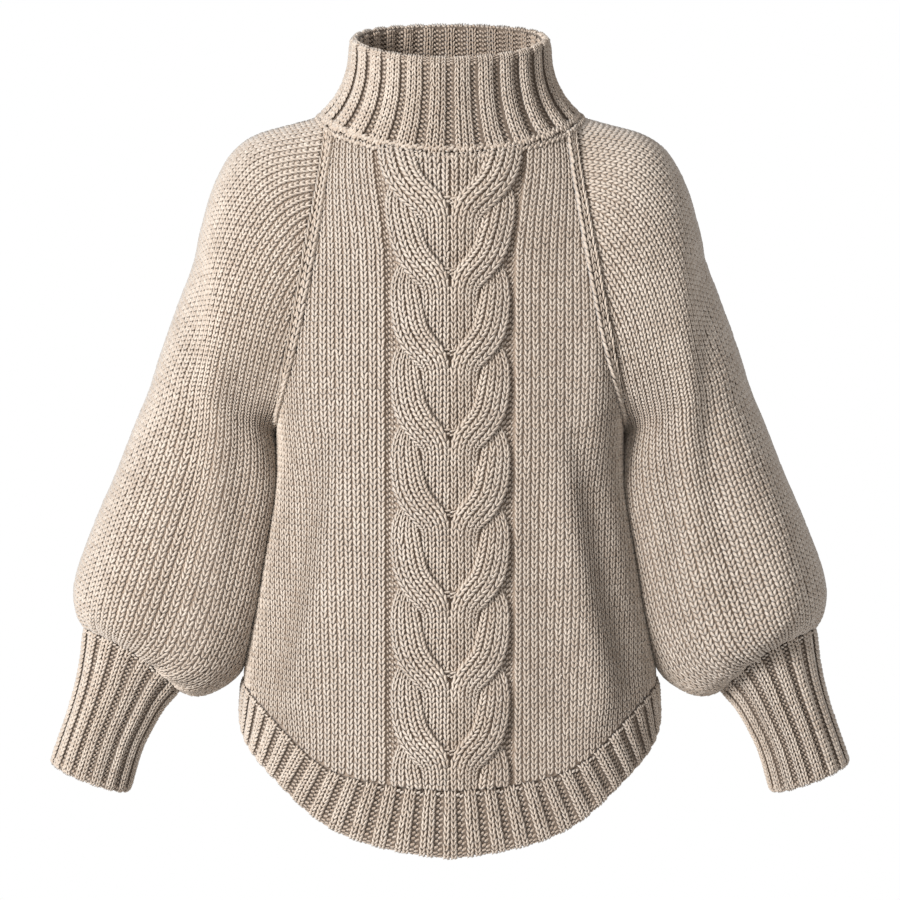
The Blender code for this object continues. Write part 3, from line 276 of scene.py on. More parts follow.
RAGLAN_ROWS = 13                # rows of the form; each is divided into FINE
LOWER_ROWS = 13
SLEEVE_ROWS = 11
FINE = 4
LATTICE_COLUMNS = 96
SECTION_ASPECT = 0.74           # depth to half width, where a section's length is shared out
SECTION_STEPS = 400             # points that a section is first worked out at
CLEARANCE_SOFTNESS = 2.5        # how gradually the sleeve turns along the body's side
UNDERARM_REACH = 3              # rows above and below the underarm over which the panels bend
UNDERARM_EDGE = 0.3             # the share of a panel's half over which that bend dies out at its edge
FOLD_TAPER = 0.35               # the least share of its rise that a fold keeps towards its ends
FOLD_RUN_IN = 0.08              # the share of a fold's taper that is over at its ends
FOLD_EDGE = 0.14                # the share over which soft folds die out at a piece's edge
BACK_LIFT_REACH = 0.5           # the share of the raglan seam over which the back starts higher
NECK_FADE = 0.45                # the share of the raglan seam over which rows lose the neck's curve

CHAIN_WIDTH = 8.4               # the column of larger stitches along each side of a raglan seam
CHAIN_ROW = 6.9
CHAIN_SIZE = 2.2                # how thick its yarn is
CHAIN_LIFT = 2.2                # how far it stands up
CHAIN_START = 2.0               # below the neck seam
CHAIN_STOP = 1.0                # above the underarm
CHAIN_EDGE = 0.2                # from the raglan seam
CHAIN_COVERED = 0.45            # the share of the chain's width that the panel's plain stitches leave to it

GATHERS = 17                    # small folds where the sleeve is taken up into the cuff
GATHER_RISE = 1.7
GATHER_REACH = 0.16             # the share of the lower sleeve that they run up

SHELL_WIDTH = 0.998             # the share of a panel's width that its shell takes
CAP_EDGE = 0.12 * CHAIN_WIDTH   # how near the raglan seams the sleeve's stitches come
SIDE_EDGE = 0.6                 # how near the side seams the panels' stitches come
SAME_PLACE = 0.6                # how far a stitch's corner may be from the height asked for
LEAST_CELL = 0.3                # the least height of a stitch's cell, in rows
SHARE_ROUNDS = 8                # rounds of the search for a place across a row
PLACE_ROUNDS = 16               # and for a place down and across a panel


# ---------------------------------------------------------------- curves and small helpers


class Curve:
    """A natural cubic spline through a table's columns, as a function of one of them."""

    def __init__(self, places: Sequence[float], values: np.ndarray) -> None:
        """Work out the spline.

        Args:
            places: Rising positions along the curve.
            values: One row of values for each place.
        """
        self.places = np.asarray(places, dtype=float)
        self.values = np.asarray(values, dtype=float)
        count = len(self.places)
        steps = np.diff(self.places)
        system = np.eye(count)
        right = np.zeros_like(self.values)
        for i in range(1, count - 1):
            system[i, i - 1] = steps[i - 1]
            system[i, i] = 2.0 * (steps[i - 1] + steps[i])
            system[i, i + 1] = steps[i]
            slopes = np.diff(self.values[i - 1:i + 2], axis=0).T / steps[i - 1:i + 1]
            right[i] = 6.0 * (slopes[..., 1] - slopes[..., 0])
        self.bends = np.linalg.solve(system, right)

    def __call__(self, where: float | np.ndarray) -> np.ndarray:
        """Evaluate the curve.

        Args:
            where: One place or an array of them, held within the table's range.

        Returns:
            The values there, with the table's columns as the last axis.
        """
        where = np.clip(np.asarray(where, dtype=float), self.places[0], self.places[-1])
        i = np.clip(np.searchsorted(self.places, where, side="right") - 1, 0, len(self.places) - 2)
        step = self.places[i + 1] - self.places[i]
        before = ((self.places[i + 1] - where) / step)[..., None]
        after = ((where - self.places[i]) / step)[..., None]
        straight = before * self.values[i] + after * self.values[i + 1]
        bend = (before ** 3 - before) * self.bends[i] + (after ** 3 - after) * self.bends[i + 1]
        return straight + bend * step[..., None] ** 2 / 6.0


def column_curve(table: Sequence[Sequence[float]], descending: bool = False) -> Curve:
    """Make a curve of a table's later columns over its first one.

    Args:
        table: Rows of numbers.
        descending: True where the first column falls.

    Returns:
        The curve.
    """
    rows = np.array(table, dtype=float)
    if descending:
        rows = rows[::-1]
    return Curve(rows[:, 0], rows[:, 1:])


def row_curve(table: Sequence[Sequence[float]], pairs: int = 2) -> Curve:
    """Make a curve through a table's rows, placed by the share of the way along them.

    Args:
        table: Rows of numbers that start with one or two (x, z) pairs.
        pairs: How many pairs measure the way.

    Returns:
        The curve, over 0 to 1.
    """
    rows = np.array(table, dtype=float)
    travel = sum(np.hypot(*np.diff(rows[:, 2 * i:2 * i + 2], axis=0).T) for i in range(pairs))
    places = np.concatenate(([0.0], np.cumsum(travel)))
    return Curve(places / places[-1], rows)


def smooth_step(value: float | np.ndarray) -> np.ndarray:
    """Ease from 0 to 1 over the same range."""
    value = np.clip(value, 0.0, 1.0)
    return value * value * (3.0 - 2.0 * value)


def unit(vectors: np.ndarray) -> np.ndarray:
    """Scale vectors to a length of one."""
    return vectors / np.maximum(np.linalg.norm(vectors, axis=-1, keepdims=True), 1e-12)


def travel(points: np.ndarray) -> np.ndarray:
    """Length run along a line of points, from 0 at its first one."""
    return np.concatenate(([0.0], np.cumsum(np.linalg.norm(np.diff(points, axis=0), axis=1))))


def row_runs(points: np.ndarray) -> np.ndarray:
    """Length run along each row of a lattice, from 0 at its first column."""
    steps = np.linalg.norm(np.diff(points, axis=1), axis=-1)
    return np.concatenate((np.zeros((len(points), 1)), np.cumsum(steps, axis=1)), axis=1)


def doubled(values: np.ndarray) -> np.ndarray:
    """Each value twice, for the two edges of one column."""
    return np.repeat(values[:, None], 2, axis=1)


def mirrored(points: np.ndarray) -> np.ndarray:
    """Give the same points on the wearer's other side."""
    return points * np.array((-1.0, 1.0, 1.0))


def ring_height(terms: Sequence[float], angle: float | np.ndarray) -> np.ndarray:
    """Height of a tilted and bent ring at an angle from the front centre."""
    mean, tilt, saddle = terms
    return mean + tilt * np.cos(angle) + saddle * np.cos(2.0 * angle)


def neck_point(angle: float | np.ndarray) -> np.ndarray:
    """Points of the neck seam; angle 0 is the front centre and a quarter turn is the left side."""
    x = NECK_HALF_WIDTH * np.sin(angle)
    y = -NECK_HALF_DEPTH * np.cos(angle)
    return np.stack((x, y, ring_height(NECK_HEIGHT, angle)), axis=-1)


def lattice_sample(
    values: np.ndarray, row: np.ndarray, column: np.ndarray, beyond: float = 0.0
) -> np.ndarray:
    """Blend a lattice between its rows and columns.

    Args:
        values: The lattice, rows by columns by components.
        row: Places down the rows, in rows.
        column: Places across the columns, in columns.
        beyond: How far past its edges it is carried on straight.

    Returns:
        One blended value for each place.
    """
    row = np.clip(row, -beyond, values.shape[0] - 1.0 + beyond)
    column = np.clip(column, -beyond, values.shape[1] - 1.0 + beyond)
    top = np.clip(row.astype(int), 0, values.shape[0] - 2)
    left = np.clip(column.astype(int), 0, values.shape[1] - 2)
    down = (row - top)[..., None]
    over = (column - left)[..., None]
    upper = values[top, left] * (1.0 - over) + values[top, left + 1] * over
    lower = values[top + 1, left] * (1.0 - over) + values[top + 1, left + 1] * over
    return upper * (1.0 - down) + lower * down


def lattice_normals(points: np.ndarray, ring: bool = False) -> np.ndarray:
    """Work out outward normals of a lattice.

    Args:
        points: The lattice, rows by columns by three.
        ring: True where each row is closed, with its first point given again at its end.

    Returns:
        Unit normals of the same shape, with a side that depends on the lattice's order.
    """
    down = np.gradient(points, axis=0)
    if ring:
        wrapped = np.concatenate((points[:, -2:-1], points, points[:, 1:2]), axis=1)
        across = np.gradient(wrapped, axis=1)[:, 1:-1]
    else:
        across = np.gradient(points, axis=1)
    return unit(np.cross(across, down))


def fold_rise(points: np.ndarray, table: Sequence[Sequence[float]]) -> np.ndarray:
    """Work out how far soft folds move each point, by its place in the front view.

    Args:
        points: Points of a surface.
        table: Rows of a fold's path, spread and rise.

    Returns:
        One outward distance for each point.
    """
    place = np.stack((np.abs(points[..., 0]), points[..., 2]), axis=-1)
    total = np.zeros(place.shape[:-1])
    for x_top, z_top, x_mid, z_mid, x_low, z_low, spread, rise in table:
        knots = np.array(((x_top, z_top), (x_mid, z_mid), (x_low, z_low)))
        nearest = np.full(place.shape[:-1], 1e9)
        along = np.zeros(place.shape[:-1])
        for i in range(2):
            run = knots[i + 1] - knots[i]
            part = np.clip(((place - knots[i]) @ run) / (run @ run), 0.0, 1.0)
            away = np.linalg.norm(place - knots[i] - part[..., None] * run, axis=-1)
            closer = away < nearest
            nearest = np.where(closer, away, nearest)
            along = np.where(closer, (i + part) / 2.0, along)
        swell = np.sin(math.pi * (FOLD_RUN_IN + (1.0 - 2.0 * FOLD_RUN_IN) * along))
        taper = FOLD_TAPER + (1.0 - FOLD_TAPER) * swell
        total += rise * taper * np.exp(-(nearest / spread) ** 2)
    return total


# ---------------------------------------------------------------- the garment's form


class Side(Enum):
    """Front or back of the garment; the value is the way along Y."""

    FRONT = -1
    BACK = 1


class Hand(Enum):
    """The wearer's left or right; the value is the way along X."""

    LEFT = 1
    RIGHT = -1


def raglan_curve() -> Curve:
    """The front raglan seam as a curve over its share, with columns height, x, depth and turn."""
    corner = (
        float(ring_height(NECK_HEIGHT, RAGLAN_START)),
        NECK_HALF_WIDTH * math.sin(RAGLAN_START),
        NECK_HALF_DEPTH * math.cos(RAGLAN_START),
        math.degrees(RAGLAN_START),
    )
    rows = np.array((corner,) + RAGLAN)
    places = travel(rows[:, :3])
    return Curve(places / places[-1], rows)


RAGLAN_AT = raglan_curve()
DEPTH_AT = column_curve(BODY_DEPTH, descending=True)
WIDTH_AT = column_curve(BODY_WIDTH, descending=True)
HEM_AT = column_curve(HEM)
COLLAR_FLARE = column_curve(COLLAR_PROFILE)
CAP_AT = column_curve(SLEEVE_CAP)
SLEEVE_AT = row_curve(SLEEVE)
CUFF_AT = row_curve(CUFF)
STRAND_AT = row_curve(STRAND_PATH, pairs=1)
EVEN_SHARES = np.linspace(0.0, 1.0, LATTICE_COLUMNS // 2 + 1)      # across half a row
ALL_SHARES = np.linspace(0.0, 1.0, LATTICE_COLUMNS + 1)            # across a whole one
SIGNED_SHARES = np.linspace(-1.0, 1.0, LATTICE_COLUMNS + 1)        # and from its middle


def raglan_line(places: np.ndarray, side: Side) -> np.ndarray:
    """Height, x, depth and turn of a raglan seam on the wearer's left, at shares of its length."""
    height, x, depth, turn = np.moveaxis(RAGLAN_AT(places), -1, 0)
    if side is Side.BACK:
        lift = ring_height(NECK_HEIGHT, math.pi - RAGLAN_START) - ring_height(NECK_HEIGHT, RAGLAN_START)
        height = height + float(lift) * (1.0 - smooth_step(np.asarray(places) / BACK_LIFT_REACH))
    return np.stack((height, x, depth, turn))


def fading_ends(count: int, top: float, bottom: float) -> np.ndarray:
    """Weights of rows, easing from 0 at the first and last ones over a number of undivided rows."""
    row = np.arange(count)
    return (smooth_step(row / (top * FINE)) * smooth_step(row[::-1] / (bottom * FINE)))[:, None]


def fading_edges() -> np.ndarray:
    """Weights across a row, easing from 0 at both of its edges."""
    return smooth_step((1.0 - np.abs(SIGNED_SHARES)) / FOLD_EDGE)[None, :]


def half_section(
    half_width: float, edge_depth: float, centre_depth: float, turn: float, squareness: float
) -> tuple[np.ndarray, np.ndarray]:
    """Half a level section of the body.

    Args:
        half_width: Its x at the edge.
        edge_depth: Its depth at the edge.
        centre_depth: Its depth at the centre.
        turn: The section's angle at the edge, in degrees.
        squareness: 1 for an ellipse, less for a squarer section.

    Returns:
        x and depth at even shares of its length.
    """
    angle = np.linspace(0.0, math.radians(turn), SECTION_STEPS)
    end_sine = math.sin(math.radians(turn)) ** squareness
    end_cosine = max(math.cos(math.radians(turn)), 0.0) ** squareness
    x = half_width * np.sin(angle) ** squareness / end_sine
    fullness = (np.maximum(np.cos(angle), 0.0) ** squareness - end_cosine) / (1.0 - end_cosine)
    depth = edge_depth + (centre_depth - edge_depth) * fullness
    length = travel(np.column_stack((x, depth)))
    even = np.interp(EVEN_SHARES, length / length[-1], angle)
    return np.interp(even, angle, x), np.interp(even, angle, depth)


def lower_section(side: Side, shares: np.ndarray, height: np.ndarray) -> np.ndarray:
    """Points below the underarm at shares of the half section, each at its own height."""
    width, squareness = np.moveaxis(WIDTH_AT(height), -1, 0)
    full = DEPTH_AT(height)[..., 0 if side is Side.FRONT else 1]
    middle = float(np.mean(squareness))
    x, _ = half_section(1.0, 0.0, SECTION_ASPECT, 90.0, middle)
    angle = np.arcsin(np.clip(np.interp(shares, EVEN_SHARES, x) ** (1.0 / middle), 0.0, 1.0))
    across = np.sin(angle) ** squareness * width
    away = np.maximum(np.cos(angle), 0.0) ** squareness * full
    return np.stack((across, side.value * away, height), axis=-1)


def ring_section(
    places: Sequence[float], crown: float = 0.0, wrap: float = math.pi, edge_depth: float = 0.0
) -> np.ndarray:
    """One row of a sleeve or cuff, from the back edge over the outer line to the front edge.

    Args:
        places: x and z of its outer point, x and z of its inner point or of the middle between its edges,
            and its half depth along Y.
        crown: How far its front and back are lifted along the arm.
        wrap: Half the angle it goes round, in radians; a half turn closes it.
        edge_depth: The depth of its edges.

    Returns:
        LATTICE_COLUMNS + 1 points.
    """
    outer, inner, half_depth = np.array(places[0:2]), np.array(places[2:4]), places[4]
    phi = SIGNED_SHARES * wrap
    away = (1.0 - np.cos(phi)) / (1.0 - math.cos(wrap))
    mismatch = edge_depth - half_depth * math.sin(wrap)
    bulge = half_depth * np.sin(np.abs(phi)) + mismatch * (np.abs(phi) / wrap) ** 4
    axis = unit(np.array((inner[1] - outer[1], outer[0] - inner[0])))
    plane = outer + away[:, None] * (inner - outer) + (crown * np.sin(phi) ** 2)[:, None] * axis
    return np.stack((plane[:, 0], np.where(phi > 0.0, -bulge, bulge), plane[:, 1]), axis=-1)


def clear_of_body(points: np.ndarray) -> np.ndarray:
    """Move sleeve points outward where they would come too near the body's side."""
    width, squareness = np.moveaxis(WIDTH_AT(points[..., 2]), -1, 0)
    depths = DEPTH_AT(points[..., 2])
    depth = np.where(points[..., 1] < 0.0, depths[..., 0], depths[..., 1])
    part = np.clip(np.abs(points[..., 1]) / depth, 0.0, 1.0) ** (2.0 / squareness)
    side = width * (1.0 - part) ** (squareness / 2.0) + SLEEVE_CLEARANCE
    side = np.where(points[..., 2] < RAGLAN[-1][0], side, 0.0)
    gap = points[..., 0] - side
    soft = 0.5 * (gap + np.sqrt(gap ** 2 + CLEARANCE_SOFTNESS ** 2))
    moved = points.copy()
    moved[..., 0] = np.where(side > 0.0, side + soft, points[..., 0])
    return moved


class Skin:
    """A lattice of points with outward normals: the outer face of one piece of cloth."""

    def __init__(self, points: np.ndarray, ring_from: int | None = None) -> None:
        """Keep the points and work out the normals.

        Args:
            points: Rows by columns by three.
            ring_from: The row from which each row is a closed ring.
        """
        self.points = points
        self.normals = lattice_normals(points)
        if ring_from is not None:
            self.normals[ring_from:] = lattice_normals(points[ring_from:], ring=True)
        middle = points.mean(axis=(0, 1))
        if np.sum((points - middle) * self.normals) < 0.0:
            self.normals = -self.normals

    def fold(self, rise: np.ndarray) -> None:
        """Move every point out along its normal."""
        self.points = self.points + self.normals * rise[..., None]

    def at(self, row: np.ndarray, share: np.ndarray) -> np.ndarray:
        """Points at rows and at shares (0 to 1) across them."""
        return lattice_sample(self.points, row, share * (self.points.shape[1] - 1))

    def out(self, row: np.ndarray, share: np.ndarray) -> np.ndarray:
        """Outward ways at rows and at shares across them."""
        return unit(lattice_sample(self.normals, row, share * (self.points.shape[1] - 1)))

    def both(self, row: np.ndarray, share: np.ndarray) -> tuple[np.ndarray, np.ndarray]:
        """Points and outward ways at rows and at shares across them."""
        return self.at(row, share), self.out(row, share)

    def line(self, place: float, shares: np.ndarray) -> tuple[np.ndarray, np.ndarray]:
        """Points and outward ways of one row line, at a share of the way down."""
        return self.both(np.full(len(shares), place * (len(self.points) - 1)), shares)

    def inside(self, row: np.ndarray, share: np.ndarray, depth: float) -> np.ndarray:
        """Points at a depth below the surface."""
        return self.at(row, share) - self.out(row, share) * depth


class BodyForm:
    """The front or back panel of the body, from the neck to the hem band."""

    def __init__(self, side: Side) -> None:
        """Work out the panel's lattice and the half length of each of its rows."""
        self.side = side
        half = self.half_rows()
        points = np.concatenate((mirrored(half[:, :0:-1]), half), axis=1)
        self.skin = Skin(points)
        run = row_runs(half)
        self.half_lengths = run[:, -1]
        self.run = np.concatenate((-run[:, :0:-1], run), axis=1)[..., None]
        table = BODY_FOLDS if side is Side.FRONT else BACK_FOLDS
        self.skin.fold(fold_rise(points, table) * fading_edges() * fading_ends(len(points), 3.0, 2.0))

    def half_length(self, row: np.ndarray) -> np.ndarray:
        """The length from the centre to the edge at rows between the lattice's."""
        return np.interp(row, np.arange(len(self.half_lengths)), self.half_lengths)

    def reach(self, row: np.ndarray, share: np.ndarray) -> np.ndarray:
        """The signed length along a row from the centre to a share across it."""
        return lattice_sample(self.run, row, share * LATTICE_COLUMNS)[..., 0]

    def share_at(self, row: np.ndarray, across: np.ndarray) -> np.ndarray:
        """The share across a row at a signed length from the centre, held at the panel's edges."""
        half = self.half_length(row)
        share = 0.5 + 0.5 * np.clip(across / half, -1.0, 1.0)
        for _ in range(SHARE_ROUNDS):
            share = np.clip(share + 0.5 * (across - self.reach(row, share)) / half, 0.0, 1.0)
        return share

    def half_rows(self) -> np.ndarray:
        """The rows of the left half, from the centre line to the edge."""
        neck_angle = EVEN_SHARES * RAGLAN_START
        if self.side is Side.BACK:
            neck_angle = math.pi - neck_angle
        neck_rise = neck_point(neck_angle)[:, 2] - neck_point(neck_angle[-1:])[:, 2]
        column = 0 if self.side is Side.FRONT else 1
        rows = []
        for i in range(RAGLAN_ROWS * FINE + 1):
            place = i / (RAGLAN_ROWS * FINE)
            height, half_width, edge_depth, turn = raglan_line(place, self.side)
            fade = 1.0 - smooth_step(place / NECK_FADE)
            centre_depth = DEPTH_AT(height + neck_rise[0] * fade)[column]
            squareness = 1.0 - (1.0 - BODY_WIDTH[0][2]) * float(smooth_step(place))
            x, depth = half_section(half_width, edge_depth, centre_depth, turn, squareness)
            rows.append(np.stack((x, self.side.value * depth, height + neck_rise * fade), axis=-1))
        under = float(RAGLAN_AT(1.0)[0])
        for i in range(1, LOWER_ROWS * FINE + 1):
            height = under + (HEM_AT(EVEN_SHARES)[:, 0] - under) * i / (LOWER_ROWS * FINE)
            rows.append(lower_section(self.side, EVEN_SHARES, height))
        return self.ease_underarm(np.array(rows))

    @staticmethod
    def ease_underarm(rows: np.ndarray) -> np.ndarray:
        """Round the bend where the rows pass the underarm, all but at the panel's edge."""
        low = (RAGLAN_ROWS - UNDERARM_REACH) * FINE
        high = (RAGLAN_ROWS + UNDERARM_REACH) * FINE
        span = 2.0 * UNDERARM_REACH
        start_slope = (rows[low] - rows[low - FINE]) * span
        end_slope = (rows[high + FINE] - rows[high]) * span
        weight = smooth_step((1.0 - EVEN_SHARES) / UNDERARM_EDGE)[:, None]
        for i in range(low + 1, high):
            t = (i - low) / (high - low)
            value = (1.0 + 2.0 * t) * (1.0 - t) ** 2 * rows[low] + t * (1.0 - t) ** 2 * start_slope
            value += t ** 2 * (3.0 - 2.0 * t) * rows[high] + t ** 2 * (t - 1.0) * end_slope
            rows[i] += weight * (value - rows[i])
        return rows


class SleeveForm:
    """The wearer's left sleeve, from the neck to the cuff, open at the raglan seams above the underarm."""

    def __init__(self) -> None:
        """Work out the sleeve's lattice, with its folds and the gathers above the cuff."""
        self.cap_rows = RAGLAN_ROWS * FINE
        rows = [self.cap_row(i / self.cap_rows) for i in range(self.cap_rows + 1)]
        angle = np.linspace(math.pi - RAGLAN_START, RAGLAN_START, LATTICE_COLUMNS + 1)
        offset = neck_point(angle) - rows[0]
        reach = 3 * FINE
        for i in range(reach):
            rows[i] = rows[i] + offset * (1.0 - smooth_step(i / reach))
        for i in range(1, SLEEVE_ROWS * FINE + 1):
            values = SLEEVE_AT(i / (SLEEVE_ROWS * FINE))
            rows.append(ring_section(values, values[5]))
        rows = np.array(rows)
        rows[self.cap_rows + 1:] = clear_of_body(rows[self.cap_rows + 1:])
        self.skin = Skin(rows, ring_from=self.cap_rows + 1)
        self.skin.fold(self.creases(rows))

    def cap_row(self, place: float) -> np.ndarray:
        """One open row, whose ends lie on the raglan seams at a share of their length."""
        outer_x, outer_z, half_depth, wrap = CAP_AT(place)
        high, x, depth, _ = raglan_line(place, Side.FRONT)
        high_back = raglan_line(place, Side.BACK)[0]
        places = (outer_x, outer_z, x, (high + high_back) / 2.0, half_depth)
        row = ring_section(places, wrap=math.radians(wrap), edge_depth=depth)
        row[:, 2] += (high - high_back) / 2.0 * np.sign(SIGNED_SHARES) * SIGNED_SHARES ** 2
        return row

    def creases(self, rows: np.ndarray) -> np.ndarray:
        """How far the soft folds and the gathers above the cuff move each point."""
        edge = fading_edges()
        row = np.arange(len(rows))
        closed = smooth_step((row / FINE - RAGLAN_ROWS + 3.0) / 3.0)[:, None]
        soft = fold_rise(rows, SLEEVE_FOLDS) * fading_ends(len(rows), 4.0, 3.0)
        soft = soft * (edge + (1.0 - edge) * closed)
        lower = (row - self.cap_rows) / (SLEEVE_ROWS * FINE)
        near_cuff = smooth_step((lower - 1.0 + GATHER_REACH) / (0.6 * GATHER_REACH))
        near_cuff = near_cuff * smooth_step((1.02 - lower) / 0.06)
        turn = ALL_SHARES * 2.0 * math.pi
        uneven = GATHERS * turn + 1.3 * np.sin(3.0 * turn)     # neither evenly spaced
        wave = np.sin(uneven) * (0.75 + 0.25 * np.cos(5.0 * turn))      # nor equally high
        return soft + GATHER_RISE * near_cuff[:, None] * wave[None, :]


def cuff_rows(places: Iterable[float]) -> np.ndarray:
    """Rows of the wearer's left cuff at shares of its length."""
    values = [CUFF_AT(place) for place in places]
    return np.array([ring_section(row, row[5]) for row in values])


def collar_point(rise: np.ndarray, angle: np.ndarray) -> np.ndarray:
    """Points of the collar at shares of its rise and angles from the front centre."""
    flare = COLLAR_FLARE(rise)[..., 0]
    x = (RIM_HALF_WIDTH + (NECK_HALF_WIDTH - RIM_HALF_WIDTH) * flare) * np.sin(angle)
    y = -(RIM_HALF_DEPTH + (NECK_HALF_DEPTH - RIM_HALF_DEPTH) * flare) * np.cos(angle)
    low = ring_height(NECK_HEIGHT, angle)
    return np.stack((x, y, low + (ring_height(RIM_HEIGHT, angle) - low) * rise), axis=-1)


def hem_point(side: Side, place: float, shares: np.ndarray) -> np.ndarray:
    """Points of a hem band at a share of its depth and signed shares of the way to the side seams."""
    away = np.abs(shares)
    spread = away + HEM_FAN * np.sin(math.pi * away)
    here = away + (spread - away) * place
    height = HEM_AT(away)[:, 0] + (HEM_AT(spread)[:, 1] - HEM_AT(away)[:, 0]) * place
    row = lower_section(side, here, height)
    row[:, 0] *= np.sign(shares)
    return row


# ---------------------------------------------------------------- finishes

Value = "Socket | float"


class Socket:
    """A value in a shader: expressions on it add the Math nodes that work them out."""

    def __init__(self, graph: "Graph", socket: bpy.types.NodeSocket) -> None:
        """Wrap an output socket of a graph."""
        self.graph = graph
        self.socket = socket

    def _math(self, operation: str, *values: Value) -> "Socket":
        """Add one Math node for an operation on values."""
        return self.graph.node("ShaderNodeMath", {"operation": operation}, dict(enumerate(values)))

    def __add__(self, other: Value) -> "Socket":
        """Add."""
        return self._math("ADD", self, other)

    __radd__ = __add__

    def __sub__(self, other: Value) -> "Socket":
        """Take away."""
        return self._math("SUBTRACT", self, other)

    def __rsub__(self, other: Value) -> "Socket":
        """Take this away from a number."""
        return self._math("SUBTRACT", other, self)

    def __mul__(self, other: Value) -> "Socket":
        """Multiply."""
        return self._math("MULTIPLY", self, other)

    __rmul__ = __mul__

    def sine(self) -> "Socket":
        """The sine of this value, in radians."""
        return self._math("SINE", self)


class Graph:
    """The nodes of one material or of the world."""

    def __init__(self, tree: bpy.types.NodeTree) -> None:
        """Start with an empty node tree."""
        self.tree = tree
        tree.nodes.clear()

    def node(
        self, kind: str, settings: dict | None = None, values: dict | None = None, output: int = 0
    ) -> Socket:
        """Add a node.

        Args:
            kind: The node's type.
            settings: Its own settings, set first.
            values: Values or links for its inputs, by name or number.
            output: The number of the output to give back.

        Returns:
            That output.
        """
        made = self.tree.nodes.new(kind)
        for name, value in (settings or {}).items():
            setattr(made, name, value)
        for name, value in (values or {}).items():
            if isinstance(value, Socket):
                self.tree.links.new(value.socket, made.inputs[name])
            else:
                made.inputs[name].default_value = value
        return Socket(self, made.outputs[output] if made.outputs else None)


@dataclass(frozen=True)
class Yarn:
    """The marled wool of the stitches, or the ground between them, whose darker colour is painted shade."""

    name: str
    dark: tuple[float, float, float, float]
    light: tuple[float, float, float, float]
    roughness: float = 0.88
    sheen: float = 0.35
    fleck_scale: float = 620.0          # of the single fibres, over a metre
    drift_scale: float = 26.0           # of the slow change of tone along the yarn
    fleck_strength: float = 1.5
    drift_strength: float = 0.45
    tone_and_painted_shade_strength: float = 0.3          # how much stitches differ from each other, and how strongly their painted shade shows
    ply_painted_shade: float = 0.12          # painted shade: how dark the lines between the yarn's plies are, where their bump is low
    fuzz_height: float = 0.25
    ply_height: float = 0.35
    relief: float = 0.0006              # height of the bump, in metres
    plied: bool = True

    def material(self) -> bpy.types.Material:
        """Make the yarn's material, or find it if it is there."""
        made = bpy.data.materials.get(self.name)
        if made is not None:
            return made
        made = bpy.data.materials.new(self.name)
        made.use_nodes = True
        graph = Graph(made.node_tree)
        place = graph.node("ShaderNodeTexCoord", output=3)
        fleck, drift = (
            graph.node("ShaderNodeTexNoise", {}, {"Vector": place, "Scale": scale, "Detail": detail})
            for scale, detail in ((self.fleck_scale, 2.0), (self.drift_scale, 1.0))
        )
        mix = (fleck - 0.5) * self.fleck_strength + (drift - 0.5) * self.drift_strength + 0.5
        height = fleck * self.fuzz_height
        if self.plied:
            # the tone attribute holds each stitch's random tone plus its painted shade
            tone_and_painted_shade, ply = (
                graph.node("ShaderNodeAttribute", {"attribute_name": name}, output=2)
                for name in ("tone_and_painted_shade", "ply")
            )
            strands = (ply * (2.0 * math.pi)).sine()
            # the ply lines are painted shade: the colour is darkest where the ply bump is lowest
            mix = mix + (tone_and_painted_shade - 0.5) * self.tone_and_painted_shade_strength + strands * self.ply_painted_shade
            height = height + strands * self.ply_height
        colour = graph.node(
            "ShaderNodeMix",
            {"data_type": "RGBA", "clamp_factor": True},
            {0: mix, 6: self.dark, 7: self.light},
            output=2,
        )
        bump = graph.node("ShaderNodeBump", {}, {"Height": height, "Distance": self.relief, "Strength": 0.6})
        shader = graph.node(
            "ShaderNodeBsdfPrincipled",
            {},
            {
                "Base Color": colour,
                "Roughness": self.roughness,
                "Normal": bump,
                "Sheen Weight": self.sheen,
                "Sheen Roughness": 0.6,
                "Specular IOR Level": 0.2,
            },
        )
        graph.node("ShaderNodeOutputMaterial", {}, {"Surface": shader})
        return made


STITCH_YARN = Yarn("greige_marled_yarn", (0.45, 0.35, 0.268, 1.0), (0.77, 0.672, 0.574, 1.0))
RIB_STITCH_YARN = Yarn("greige_rib_marled_yarn", (0.46, 0.355, 0.27, 1.0), (0.80, 0.698, 0.596, 1.0))
# the ground shell's darker colour is painted shade for the gaps between the stitches
PAINTED_SHADE_GROUND_YARN = Yarn("painted_shade_ground_yarn", (0.25, 0.185, 0.137, 1.0), (0.40, 0.31, 0.238, 1.0), plied=False)
# the rib shell's near black colour is painted shade for the deep grooves between the ribs
PAINTED_SHADE_RIB_GROUND_YARN = Yarn(
    "painted_shade_rib_ground_yarn", (0.10, 0.072, 0.052, 1.0), (0.19, 0.142, 0.106, 1.0), plied=False
)


def scene_object(name: str, data: bpy.types.ID) -> bpy.types.Object:
    """Make an object and put it in the scene."""
    made = bpy.data.objects.new(name, data)
    bpy.context.scene.collection.objects.link(made)
    return made


def garment_object(mesh: bpy.types.Mesh, yarn: Yarn) -> bpy.types.Object:
    """Make an object of a piece's mesh, in its yarn, that rides the garment."""
    mesh.materials.append(yarn.material())
    mesh.shade_smooth()
    piece = scene_object(mesh.name, mesh)
    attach(piece, "root")
    return piece


# ---------------------------------------------------------------- stitches


class Stitch(Enum):
    """The face that a stitch shows."""

    NONE = 0
    KNIT = 1
    PURL = 2


